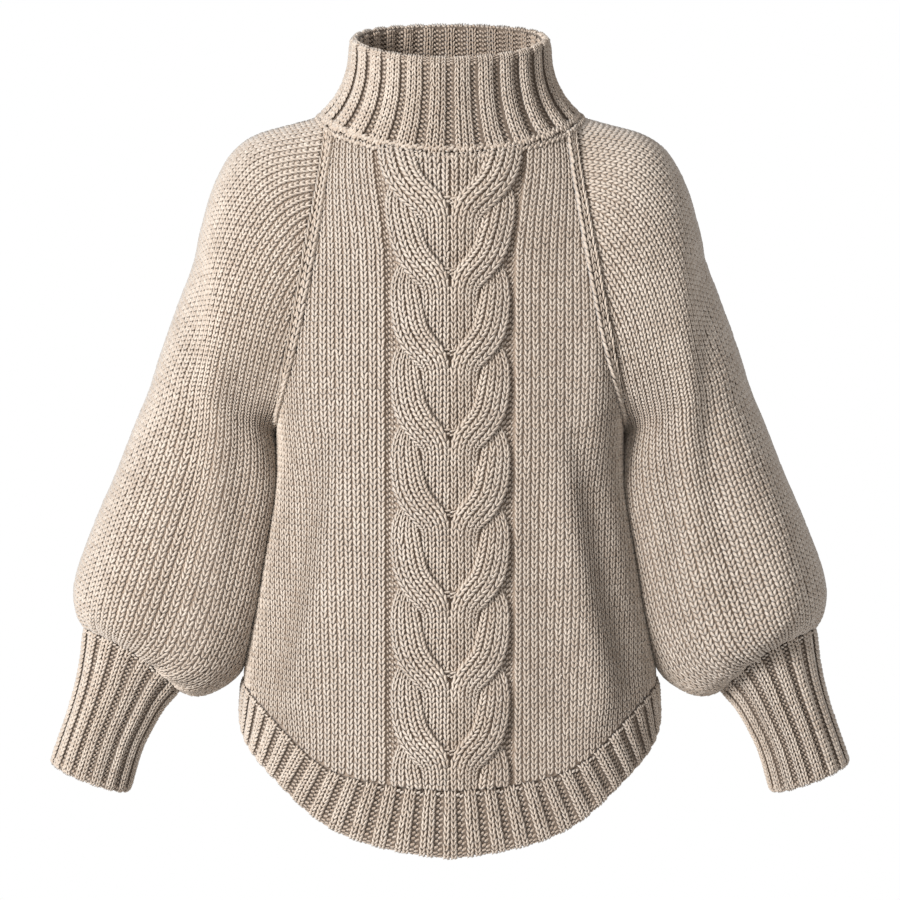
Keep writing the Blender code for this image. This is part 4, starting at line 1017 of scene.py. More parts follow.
@dataclass(frozen=True)
class YarnLeg:
    """One visible stretch of yarn, placed in a stitch's cell: x runs across it and y down it, both 0 to 1."""

    start: tuple[float, float]
    end: tuple[float, float]
    spread: tuple[float, float]     # from its middle line to its side
    rise: float                     # how far it stands up, in millimetres
    tip: float = -0.35              # the height of its two ends
    plies: float = 1.9              # turns of the plies along it

    def shape(self) -> tuple[np.ndarray, np.ndarray, np.ndarray]:
        """Make the leg from a small sphere.

        Returns:
            Its points as x, y and height in millimetres, its triangles, and its place along and round it.
        """
        ball = bmesh.new()
        bmesh.ops.create_uvsphere(ball, u_segments=3, v_segments=3, radius=1.0)
        bmesh.ops.triangulate(ball, faces=ball.faces[:])
        ball.verts.index_update()
        found = np.array([vertex.co[:] for vertex in ball.verts])
        faces = np.array([[vertex.index for vertex in face.verts] for face in ball.faces])
        ball.free()
        along = (found[:, 2] + 1.0) / 2.0
        turn = np.arctan2(found[:, 1], found[:, 0])
        is_tip = np.hypot(found[:, 0], found[:, 1]) < 0.1
        wide = np.where(is_tip, 0.0, found[:, 1] / 0.75)
        low, height = -0.433, 1.299     # the lowest corner of the sphere's middle ring, and its height
        high = np.where(is_tip, self.tip, self.rise * (found[:, 0] - low) / height)
        start = np.array(self.start)
        line = start + along[:, None] * (np.array(self.end) - start)
        place = line + wide[:, None] * np.array(self.spread)
        return np.column_stack((place, high)), faces, self.plies * along + 0.22 * turn


KNIT_LEGS = (
    YarnLeg((0.13, -0.48), (0.45, 1.08), (0.185, 0.04), 1.8),
    YarnLeg((0.87, -0.48), (0.55, 1.08), (0.185, -0.04), 1.8),
)
PURL_LEGS = (
    YarnLeg((-0.12, 0.62), (0.62, 0.20), (0.05, 0.30), 1.5),
    YarnLeg((0.42, 0.92), (1.12, 0.42), (0.05, 0.30), 1.5),
)


def leg_set(legs: Sequence[YarnLeg]) -> tuple[np.ndarray, np.ndarray, np.ndarray]:
    """Join the shapes of a stitch's legs."""
    points, faces, plies = zip(*(leg.shape() for leg in legs))
    faces = [corners + k * len(points[0]) for k, corners in enumerate(faces)]
    return np.concatenate(points), np.concatenate(faces), np.concatenate(plies)


@dataclass
class Net:
    """Rows and columns of stitches on a surface."""

    points: np.ndarray
    normals: np.ndarray
    faces: np.ndarray                   # Stitch values, one for each cell
    size: np.ndarray | float = 1.0      # how thick each stitch's yarn is
    shade: np.ndarray | float = 0.0     # how much lighter each stitch's yarn is; minus values are painted shade

    @classmethod
    def of_rows(
        cls,
        rows: Sequence[tuple],
        faces: np.ndarray,
        size: np.ndarray | float = 1.0,
        shade: np.ndarray | float = 0.0,
    ) -> "Net":
        """Make a net of row lines.

        Args:
            rows: Points and outward ways of each row line.
            faces: The face of each column, the same in all rows.
            size: How thick each stitch's yarn is.
            shade: How much lighter each stitch's yarn is; minus values are painted shade.

        Returns:
            The net.
        """
        points, normals = (np.array(part) for part in zip(*rows))
        return cls(points, normals, np.tile(faces, (len(rows) - 1, 1)), size, shade)

    def mirrored(self) -> "Net":
        """The same net on the wearer's other side."""
        return replace(self, points=mirrored(self.points), normals=mirrored(self.normals))

    def lifted(self, rise: np.ndarray | float) -> "Net":
        """The same net moved out from the surface."""
        return replace(self, points=self.points + self.normals * np.asarray(rise)[..., None])

    def of_cells(self, values: np.ndarray | float, cells: np.ndarray) -> np.ndarray:
        """A value of each of some cells."""
        return np.broadcast_to(values, self.faces.shape)[cells[:, 0], cells[:, 1]]

    def left_handed(self) -> bool:
        """True where its rows and columns turn the wrong way round its outward side."""
        row, column = (size // 2 for size in self.faces.shape)
        across = self.points[row, column + 1] - self.points[row, column]
        down = self.points[row + 1, column] - self.points[row, column]
        return float(np.dot(np.cross(across, down), self.normals[row, column])) < 0.0


@dataclass
class Coat:
    """All the stitches of one piece, gathered into one mesh."""

    name: str
    seed: int
    shift: float = 0.028                # how far stitches wander, in cells
    plumpness: float = 0.07             # how much the thickness of their yarn varies
    chart_fill: float = 0.94            # the share of its square that each stitch fills in the chart
    points: list[np.ndarray] = field(default_factory=list)
    corners: list[np.ndarray] = field(default_factory=list)
    maps: list[np.ndarray] = field(default_factory=list)
    tones_and_painted_shade: list[np.ndarray] = field(default_factory=list)
    plies: list[np.ndarray] = field(default_factory=list)

    def __post_init__(self) -> None:
        """Start the piece's own chance."""
        self.chance = np.random.default_rng(self.seed)
        self.total = 0

    def knit(self, net: Net) -> None:
        """Add every stitch of a net."""
        for stitch, legs in ((Stitch.KNIT, KNIT_LEGS), (Stitch.PURL, PURL_LEGS)):
            cells = np.argwhere(net.faces == stitch.value)
            if len(cells):
                self.place(net, cells, leg_set(legs))

    def place(self, net: Net, cells: np.ndarray, shape: tuple[np.ndarray, np.ndarray, np.ndarray]) -> None:
        """Set a stitch in each of a net's cells.

        Args:
            net: The rows and columns.
            cells: The row and column of each stitch.
            shape: The stitch's points, triangles and ply.
        """
        place, corners, ply = shape
        count = len(cells)
        shift = self.chance.normal(0.0, self.shift, (count, 1, 2))
        plump = 1.0 + self.chance.normal(0.0, self.plumpness, (count, 1))
        plump = plump * net.of_cells(net.size, cells)[:, None]
        column = cells[:, 1, None] + place[None, :, 0] + shift[..., 0]
        row = cells[:, 0, None] + place[None, :, 1] + shift[..., 1]
        out = unit(lattice_sample(net.normals, row, column, 0.5))
        points = lattice_sample(net.points, row, column, 0.5) + out * (place[None, :, 2] * plump)[..., None]
        if net.left_handed():
            corners = corners[:, ::-1]
        numbers = corners[None] + (np.arange(count) * len(place))[:, None, None]
        start = sum(len(block) for block in self.points)
        self.points.append(points.reshape(-1, 3))
        self.corners.append(numbers.reshape(-1, 3) + start)
        index = np.repeat(self.total + np.arange(count), len(place))
        local = (place[:, :2] - place[:, :2].min(axis=0)) / np.ptp(place[:, :2], axis=0)
        self.maps.append(np.column_stack((index, np.tile(local, (count, 1)))))
        # each stitch's tone is its random tone plus the net's painted shade
        self.tones_and_painted_shade.append(np.repeat(self.chance.random(count) + net.of_cells(net.shade, cells), len(place)))
        self.plies.append(np.tile(ply, count))
        self.total += count

    def build(self, yarn: Yarn, hand: Hand = Hand.LEFT) -> bpy.types.Object:
        """Make the coat's object.

        Args:
            yarn: Its finish.
            hand: Hand.RIGHT mirrors a coat that was worked out for the wearer's left.

        Returns:
            The object, which rides the garment.
        """
        points = np.concatenate(self.points) * MM
        corners = np.concatenate(self.corners)
        if hand is Hand.RIGHT:
            points = mirrored(points)
            corners = corners[:, ::-1]
        mesh = bpy.data.meshes.new(self.name)
        mesh.from_pydata(points, [], corners)
        layout = np.concatenate(self.maps)
        side = math.ceil(math.sqrt(self.total))
        cell = layout[:, 0].astype(int)
        places = (np.column_stack((cell % side, cell // side)) + layout[:, 1:] * self.chart_fill) / side
        chart = mesh.uv_layers.new(name="OFBake")
        chart.data.foreach_set("uv", places[corners.reshape(-1)].astype(np.float32).reshape(-1))
        for name, values in (("tone_and_painted_shade", self.tones_and_painted_shade), ("ply", self.plies)):
            attribute = mesh.attributes.new(name, "FLOAT", "POINT")
            attribute.data.foreach_set("value", np.concatenate(values).astype(np.float32))
        return garment_object(mesh, yarn)


# ---------------------------------------------------------------- cloth shells


def shell_object(
    name: str, lattice: np.ndarray, closed: tuple[bool, bool], wall: float, yarn: Yarn, hand: Hand
) -> bpy.types.Object:
    """Make a thin closed shell of cloth.

    Args:
        name: The piece's name.
        lattice: Its outer points, or all its points where the rows close on themselves.
        closed: Whether the last column meets the first one, and whether the last row meets the first one.
        wall: Its thickness, for a lattice of outer points only.
        yarn: Its finish.
        hand: Hand.RIGHT mirrors it.

    Returns:
        The object, which rides the garment.
    """
    rows, columns = lattice.shape[:2]
    cloth = bmesh.new()
    bmesh.ops.create_grid(cloth, x_segments=columns - 1, y_segments=rows - 1, size=1.0)
    cloth.verts.ensure_lookup_table()
    points = lattice.reshape(-1, 3) * MM
    if hand is Hand.RIGHT:
        points = mirrored(points)
    for vertex, point in zip(cloth.verts, points):
        vertex.co = point
    if any(closed):
        bmesh.ops.remove_doubles(cloth, verts=cloth.verts[:], dist=1e-7)
    bmesh.ops.recalc_face_normals(cloth, faces=cloth.faces[:])
    if closed[1]:
        rim = [edge for edge in cloth.edges if edge.is_boundary]
        if rim:
            bmesh.ops.holes_fill(cloth, edges=rim, sides=0)
            bmesh.ops.triangulate(cloth, faces=[face for face in cloth.faces if len(face.verts) > 4])
    else:
        middle = sum((vertex.co for vertex in cloth.verts), cloth.verts[0].co * 0.0) / len(cloth.verts)
        outward = sum((face.calc_center_median() - middle).dot(face.normal) for face in cloth.faces)
        if outward < 0.0:
            bmesh.ops.reverse_faces(cloth, faces=cloth.faces[:])
        bmesh.ops.solidify(cloth, geom=cloth.faces[:], thickness=wall * MM)
    bmesh.ops.recalc_face_normals(cloth, faces=cloth.faces[:])
    if cloth.calc_volume(signed=True) < 0.0:
        bmesh.ops.reverse_faces(cloth, faces=cloth.faces[:])
    mesh = bpy.data.meshes.new(name)
    cloth.to_mesh(mesh)
    cloth.free()
    return garment_object(mesh, yarn)


def lattice_area(points: np.ndarray) -> float:
    """Area of a lattice, in square metres."""
    across = np.diff(points, axis=1)[:-1]
    down = np.diff(points, axis=0)[:, :-1]
    return float(np.linalg.norm(np.cross(across, down), axis=-1).sum()) * MM * MM


@dataclass(frozen=True)
class Finish:
    """What plain or ribbed pieces are made of, and how their shells close."""

    slot: str
    stitches: Yarn
    ground: Yarn
    wall: float
    folded: bool                        # whether a shell's rows come back to its seam on the inside

    def dress(
        self,
        coat: Coat,
        lattice: np.ndarray,
        flat: tuple[float, float],
        held: str,
        area: float | None = None,
        hand: Hand = Hand.LEFT,
        closed: bool = False,
    ) -> list[bpy.types.Object]:
        """Args:
            coat: The stitches, named for the piece.
            lattice: The shell's points.
            flat: Width and length of the cut, in metres; not used.
            held: How the cloth is held; not used.
            area: The cut's area in square metres, where it isn't a plain rectangle; not used.
            hand: Hand.RIGHT mirrors the piece.
            closed: Whether the shell's last column meets its first one.

        Returns:
            The shell and the stitches.
        """
        name = coat.name.removesuffix("_stitches")
        shell = shell_object(name + "_cloth", lattice, (closed, self.folded), self.wall, self.ground, hand)
        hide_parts(name)
        stitches = coat.build(self.stitches, hand)
        return [shell, stitches]


PLAIN = Finish("greige_yarn", STITCH_YARN, PAINTED_SHADE_GROUND_YARN, WALL - GROUND_DEPTH, False)
RIBBED = Finish("greige_rib_yarn", RIB_STITCH_YARN, PAINTED_SHADE_RIB_GROUND_YARN, WALL, True)


# ---------------------------------------------------------------- the pieces


def chain_rows(line: np.ndarray) -> np.ndarray:
    """Rows of the form between the large stitches along a raglan seam, given the seam's points."""
    run = travel(line)
    marks = np.arange(CHAIN_START, run[-1] - CHAIN_STOP, CHAIN_ROW)
    return doubled(np.interp(marks, run, np.arange(len(line))))


def chain_net(skin: Skin, row: np.ndarray, share: np.ndarray) -> Net:
    """The column of large stitches between two shares of some rows."""
    faces = np.full((len(row) - 1, 1), Stitch.KNIT.value)
    return Net(*skin.both(row, share), faces, CHAIN_SIZE).lifted(CHAIN_LIFT)


def channel_spread(height: np.ndarray) -> np.ndarray:
    """How much further out the columns lie near the neck than lower down."""
    return CHANNEL_SPREAD * np.exp(-(np.minimum(height, 0.0) / CHANNEL_REACH) ** 2)


@dataclass
class Panel:
    """The front or the back: straight columns of stitches between the raglan seams."""

    side: Side
    seed: int
    first_wale: float = 0.0         # where the plain columns start, from the centre
    measured_at: float = 70.0       # from the centre: where the rows are evenly spaced
    form: BodyForm = field(init=False)
    coat: Coat = field(init=False)

    def __post_init__(self) -> None:
        """Work out the panel's form."""
        self.form = BodyForm(self.side)
        self.name = "front" if self.side is Side.FRONT else "back"
        self.coat = Coat(self.name + "_stitches", self.seed)
        self.rows = np.arange(len(self.form.skin.points), dtype=float)

    def spread(self, across: np.ndarray, height: np.ndarray) -> np.ndarray:
        """Where a column lies at a height, which on the front is further out near the neck."""
        if self.side is Side.BACK:
            return across + 0.0 * height
        inside = np.clip(np.abs(across) / CABLE_HALF_WIDTH, 0.0, 1.0)
        return across + np.sign(across) * inside * channel_spread(height)

    def heights(self) -> np.ndarray:
        """Heights of the row lines, evenly spaced along the cloth."""
        share = self.form.share_at(self.rows, np.full(len(self.rows), self.measured_at))
        line = self.form.skin.at(self.rows, share)
        run = travel(line)
        top = float(self.form.skin.points[0, :, 2].max())
        bottom = float(self.form.skin.points[-1, :, 2].min())
        middle = np.interp(np.arange(0.0, run[-1], ROW_HEIGHT), run, line[:, 2])
        above = np.arange(middle[0] + ROW_HEIGHT, top + ROW_HEIGHT, ROW_HEIGHT)[::-1]
        below = np.arange(middle[-1] - ROW_HEIGHT, bottom - ROW_HEIGHT, -ROW_HEIGHT)
        return np.concatenate((above, middle, below))

    def solve(self, across: np.ndarray, height: np.ndarray) -> tuple[np.ndarray, np.ndarray, np.ndarray]:
        """Find where a distance from the centre and a height meet.

        Args:
            across: Signed distances from the centre line, along the cloth.
            height: Heights.

        Returns:
            Rows of the form, shares across them, and the room left to the panel's edge, minus beyond it.
        """
        across = self.spread(across, height)
        row = np.interp(-height, -self.form.skin.points[:, LATTICE_COLUMNS // 2, 2], self.rows)
        share = 0.5 + 0.5 * np.clip(across / self.form.half_length(row), -1.0, 1.0)
        row_step = 6.0          # more than the form's rows are apart, so that the search doesn't overshoot
        for _ in range(PLACE_ROUNDS):
            above = self.form.skin.at(row, share)[..., 2] - height
            row = np.clip(row + above / row_step, 0.0, self.rows[-1])
            short = (across - self.form.reach(row, share)) / self.form.half_length(row)
            share = np.clip(share + 0.5 * short, 0.0, 1.0)
        return row, share, self.form.half_length(row) - np.abs(across)

    def net(self, walls: np.ndarray, heights: np.ndarray, stitch: Stitch, edge: float) -> Net:
        """Columns between walls at set distances from the centre, kept inside the panel.

        Args:
            walls: Distances of the column's edges from the centre.
            heights: Heights of the row lines.
            stitch: The face they show.
            edge: How near the raglan seam or side seam they come.

        Returns:
            The net.
        """
        across, height = np.meshgrid(walls, heights)
        row, share, room = self.solve(across, height)
        points = self.form.skin.at(row, share)
        keep = self.shown(points, (np.abs(points[..., 2] - height) < SAME_PLACE) & (room > 0.0))
        beside = np.where(row > RAGLAN_ROWS * FINE, SIDE_EDGE, edge)
        keep &= (room - beside)[:-1, :-1] + (room - beside)[1:, 1:] > 0.0
        return Net(points, self.form.skin.out(row, share), np.where(keep, stitch.value, Stitch.NONE.value))

    @staticmethod
    def shown(points: np.ndarray, good: np.ndarray) -> np.ndarray:
        """The cells that have both of their upper or lower corners on the panel, and some height."""
        ends = (good[:-1, :-1] & good[:-1, 1:]) | (good[1:, 1:] & good[1:, :-1])
        deep = np.linalg.norm(points[1:] - points[:-1], axis=-1)
        return ends & (np.minimum(deep[:, :-1], deep[:, 1:]) > LEAST_CELL * ROW_HEIGHT)

    def chain(self) -> Net:
        """The column of large stitches along the left raglan seam."""
        row = chain_rows(self.form.skin.points[:RAGLAN_ROWS * FINE + 1, -1])
        share = self.form.share_at(row, self.form.half_length(row) - np.array((CHAIN_WIDTH, CHAIN_EDGE)))
        return chain_net(self.form.skin, row, share)

    def ground(self) -> np.ndarray:
        """The shell's outer points."""
        row, share = np.meshgrid(self.rows[::2], 0.5 + (ALL_SHARES - 0.5) * SHELL_WIDTH, indexing="ij")
        return self.form.skin.inside(row, share, GROUND_DEPTH)

    def knit(self) -> None:
        """Add the panel's stitches to its coat."""
        count = int(self.form.half_lengths.max() / STITCH_WIDTH) + 2
        walls = self.first_wale + STITCH_WIDTH * np.arange(count)
        heights = self.heights()
        edge = CHAIN_WIDTH * CHAIN_COVERED
        if self.first_wale:
            self.knit_pair(self.net(walls, heights, Stitch.KNIT, edge))
        else:
            self.coat.knit(self.net(np.concatenate((-walls[:0:-1], walls)), heights, Stitch.KNIT, edge))
        self.knit_pair(self.chain())

    def knit_pair(self, net: Net) -> None:
        """Add a net and its mirror image."""
        self.coat.knit(net)
        self.coat.knit(net.mirrored())

    def dress(self) -> list[bpy.types.Object]:
        """Build the shell and its stitches."""
        self.knit()
        lattice = self.ground()
        area = lattice_area(lattice)
        width = 2.0 * float(self.form.half_lengths.max()) * MM
        length = max(area / width, float(np.ptp(self.form.skin.points[..., 2])) * MM)
        return PLAIN.dress(self.coat, lattice, (width, length), "hung", area)


@dataclass
class CableFront(Panel):
    """The front panel, with its cable between two purl channels."""

    side: Side = Side.FRONT
    seed: int = 11
    first_wale: float = CABLE_HALF_WIDTH + CHANNEL_HALF_WIDTH
    strand_row: float = 0.97        # height of a strand's rows, in plain rows
    first_pitch: float = 61.0       # from the top V up to the one that the collar hides
    inner_channel: float = 5.0      # how far a channel's stitches reach under the strands
    channel_edge: float = 2.0       # how near the raglan seams a channel comes
    channel_size: float = 1.35      # how thick its yarn is
    strand_lift: float = 0.3        # how far a strand's stitches lie over their layer
    shell_depth: float = 0.9        # how far the shell lies under a strand's layer
    shell_roundness: float = 0.42   # how the shell falls to a strand's sides, less is squarer
    shell_rows: int = 312
    middle_columns: int = 91        # of the shell under the cable and the channels
    side_columns: int = 22          # and on each side of it
    near_width: float = CABLE_HALF_WIDTH + 24.0     # the part of the shell with close columns

    def strand_stations(self, hole: float) -> tuple[np.ndarray, np.ndarray, np.ndarray, np.ndarray]:
        """Sample one left strand.

        Args:
            hole: The height of its V's hole.

        Returns:
            Its middle line as across and height, its half widths, its layers and the way across it.
        """
        fine = STRAND_AT(np.linspace(0.0, 1.0, 200))
        run = travel(fine[:, :2])
        marks = np.arange(0.0, run[-1], ROW_HEIGHT * self.strand_row)
        stations = np.stack([np.interp(marks, run, fine[:, i]) for i in range(4)], axis=-1)
        along = unit(np.gradient(stations[:, :2], axis=0))
        sideways = np.stack((-along[:, 1], along[:, 0]), axis=-1)
        line = stations[:, :2] + np.array((0.0, hole))
        return line, stations[:, 2], stations[:, 3], sideways

    def strand(self, hole: float) -> Net:
        """The columns of one left strand, standing up from the panel."""
        line, half_width, layer, sideways = self.strand_stations(hole)
        offset = np.linspace(-1.0, 1.0, STRAND_COLUMNS + 1)
        across = line[:, :1] + sideways[:, :1] * offset * half_width[:, None]
        height = line[:, 1:] + sideways[:, 1:] * offset * half_width[:, None]
        across = np.maximum(across, 0.0)
        row, share, _ = self.solve(across, height)
        points, normals = self.form.skin.both(row, share)
        stand = np.clip(layer / STRAND_FULL_LAYER, 0.0, 1.0)
        rise = layer[:, None] + self.strand_lift - STRAND_DOME * stand[:, None] * offset[None, :] ** 2
        keep = self.shown(points, np.abs(points[..., 2] - height) < 0.8)
        net = Net(points, normals, np.where(keep, Stitch.KNIT.value, Stitch.NONE.value))
        return self.turned(net.lifted(rise))

    @staticmethod
    def turned(net: Net) -> Net:
        """Tilt a net's outward ways to follow its own domed surface."""
        own = lattice_normals(net.points)
        if float(np.sum(own * net.normals)) < 0.0:
            own = -own
        return replace(net, normals=unit((1.0 - STRAND_OWN_SHARE) * net.normals + STRAND_OWN_SHARE * own))

    def holes(self) -> tuple[float, ...]:
        """Heights of the V holes, with one above the neck and one below the hem whose strands show."""
        return (CABLE_HOLES[0] + self.first_pitch,) + CABLE_HOLES + (CABLE_HOLES[-1] - CABLE_PITCH,)

    def strand_rise(self, across: np.ndarray, height: np.ndarray) -> np.ndarray:
        """How far the shell stands up under the strands and sinks in the channels."""
        away = np.abs(across)
        channel = np.exp(-((away - CABLE_HALF_WIDTH) / CHANNEL_HALF_WIDTH) ** 2)
        rise = -CHANNEL_SINK * channel
        bored = np.zeros(rise.shape)
        for hole in self.holes():
            line, half_width, layer, _ = self.strand_stations(hole)
            for (x, z), wide, high in zip(line, half_width, layer):
                if high > 1.0:
                    near = np.clip(1.0 - (np.hypot(away - x, height - z) / wide) ** 2, 0.0, 1.0)
                    lifted = (high - self.shell_depth) * near ** self.shell_roundness - 0.4
                    rise = np.where(near > 0.0, np.maximum(rise, lifted), rise)
            over = (height - hole - HOLE_MIDDLE) / HOLE_HALF_HEIGHT
            bored += HOLE_SINK * np.exp(-(away / HOLE_HALF_WIDTH) ** 2 - over ** 2)
        return rise - bored

    def bars(self, hole: float) -> Net:
        """The short bars of yarn over a V's hole."""
        above, half_width = np.array(HOLE_BARS).T
        across = half_width[:, None] * np.array((-1.0, 1.0))
        row, share, _ = self.solve(across, hole + above[:, None] + 0.0 * across)
        faces = np.full((len(HOLE_BARS) - 1, 1), Stitch.PURL.value)
        return Net(*self.form.skin.both(row, share), faces, HOLE_BAR_SIZE).lifted(HOLE_BAR_RISE)

    def ground(self) -> np.ndarray:
        """The shell's outer points, with the cable's form."""
        rows = np.linspace(0.0, self.rows[-1], self.shell_rows)
        outer = np.linspace(0.0, 1.0, self.side_columns)[1:]
        half = self.form.half_length(rows)[:, None]
        side = self.near_width + (half * SHELL_WIDTH - self.near_width) * outer
        middle = self.near_width * np.linspace(-1.0, 1.0, self.middle_columns) + 0.0 * half
        across = np.concatenate((-side[:, ::-1], middle, side), axis=1)
        row = np.repeat(rows[:, None], across.shape[1], axis=1)
        points, out = self.form.skin.both(row, self.form.share_at(row, across))
        away = np.abs(across)
        away = away - np.clip(away / (CABLE_HALF_WIDTH + 8.0), 0.0, 1.0) * channel_spread(points[..., 2])
        rise = self.strand_rise(away, points[..., 2])
        ends = smooth_step(row / 1.5) * smooth_step((self.rows[-1] - row) / 1.5)
        return points + out * (rise * ends - GROUND_DEPTH)[..., None]

    def knit(self) -> None:
        """Add the plain columns, the purl channels and the cable's strands."""
        super().knit()
        heights = self.heights()
        inner = CABLE_HALF_WIDTH - CHANNEL_HALF_WIDTH - self.inner_channel
        walls = np.linspace(inner, CABLE_HALF_WIDTH + CHANNEL_HALF_WIDTH, len(CHANNEL_RISES))
        channel = self.net(walls, heights, Stitch.PURL, self.channel_edge)
        channel = channel.lifted(np.tile(CHANNEL_RISES, (len(heights), 1)))
        # the channel's yarn is darkened with painted shade
        self.knit_pair(replace(channel, size=self.channel_size, shade=CHANNEL_PAINTED_SHADE))
        for hole in self.holes():
            self.knit_pair(self.strand(hole))
        for hole in CABLE_HOLES:
            self.coat.knit(self.bars(hole))


@dataclass
class Sleeve:
    """A sleeve: columns run down from the raglan seams and close in on the cuff."""

    hand: Hand
    seed: int
    form: SleeveForm
    wales: int = 62                 # columns all round
    first_row: float = 1.5          # below the neck seam
    least_length: float = 540.0     # of the cut, from the neck to the cuff

    def __post_init__(self) -> None:
        """Measure the sleeve's rows."""
        self.name = "sleeve_" + self.hand.name.lower()
        self.coat = Coat(self.name + "_stitches", self.seed)
        run = row_runs(self.form.skin.points)
        self.run = run - run[:, LATTICE_COLUMNS // 2][:, None]
        self.rows = np.arange(len(run), dtype=float)

    def run_at(self, place: float) -> np.ndarray:
        """Signed lengths from the outer line to each column, at a row between the lattice's."""
        places = np.full(LATTICE_COLUMNS + 1, place)
        return lattice_sample(self.run[..., None], places, np.arange(LATTICE_COLUMNS + 1.0))[:, 0]

    def net(self) -> Net:
        """All the sleeve's columns, from the back edge over the outer line to the front edge."""
        lines = self.form.skin.points[:, LATTICE_COLUMNS // 4:LATTICE_COLUMNS:LATTICE_COLUMNS // 4]
        run_down = np.mean([travel(line) for line in np.moveaxis(lines, 1, 0)], axis=0)
        row = np.interp(np.arange(self.first_row, run_down[-1], ROW_HEIGHT), run_down, self.rows)
        steps = np.arange(self.wales + 1) - self.wales // 2
        cap = self.form.cap_rows
        full = (self.run[cap, -1] - self.run[cap, 0]) / self.wales
        shares = np.zeros((len(row), self.wales + 1))
        inside = np.zeros(shares.shape, dtype=bool)
        for k, place in enumerate(row):
            run = self.run_at(place)
            marks = full * steps
            if place > cap:
                marks = (run[-1] - run[0]) / self.wales * steps + (run[0] + run[-1]) / 2.0
            shares[k] = np.interp(marks, run, ALL_SHARES)
            room = np.minimum(marks - run[0], run[-1] - marks)
            inside[k] = (room > CAP_EDGE) | (place > cap)
        rows = np.repeat(row[:, None], self.wales + 1, axis=1)
        keep = inside[:-1, :-1] & inside[1:, 1:] & inside[:-1, 1:] & inside[1:, :-1]
        return Net(*self.form.skin.both(rows, shares), np.where(keep, Stitch.KNIT.value, Stitch.NONE.value))

    def chain(self, front: bool) -> Net:
        """The column of large stitches along the sleeve's side of a raglan seam."""
        row = chain_rows(self.form.skin.points[:self.form.cap_rows + 1, -1 if front else 0])
        share = np.zeros(row.shape)
        for k, place in enumerate(row[:, 0]):
            run = self.run_at(place)
            marks = (run[-1] - CHAIN_WIDTH, run[-1] - CHAIN_EDGE)
            if not front:
                marks = (run[0] + CHAIN_EDGE, run[0] + CHAIN_WIDTH)
            share[k] = np.interp(marks, run, ALL_SHARES)
        return chain_net(self.form.skin, row, share)

    def dress(self) -> list[bpy.types.Object]:
        """Build the shell and its stitches."""
        self.coat.knit(self.net())
        for front in (True, False):
            self.coat.knit(self.chain(front))
        lattice = self.form.skin.inside(*np.meshgrid(self.rows[::2], ALL_SHARES, indexing="ij"), GROUND_DEPTH)
        area = lattice_area(lattice)
        width = float((self.run[:, -1] - self.run[:, 0]).max()) * MM
        length = max(area / width, self.least_length * MM)
        return PLAIN.dress(self.coat, lattice, (width, length), "gathered", area, self.hand)


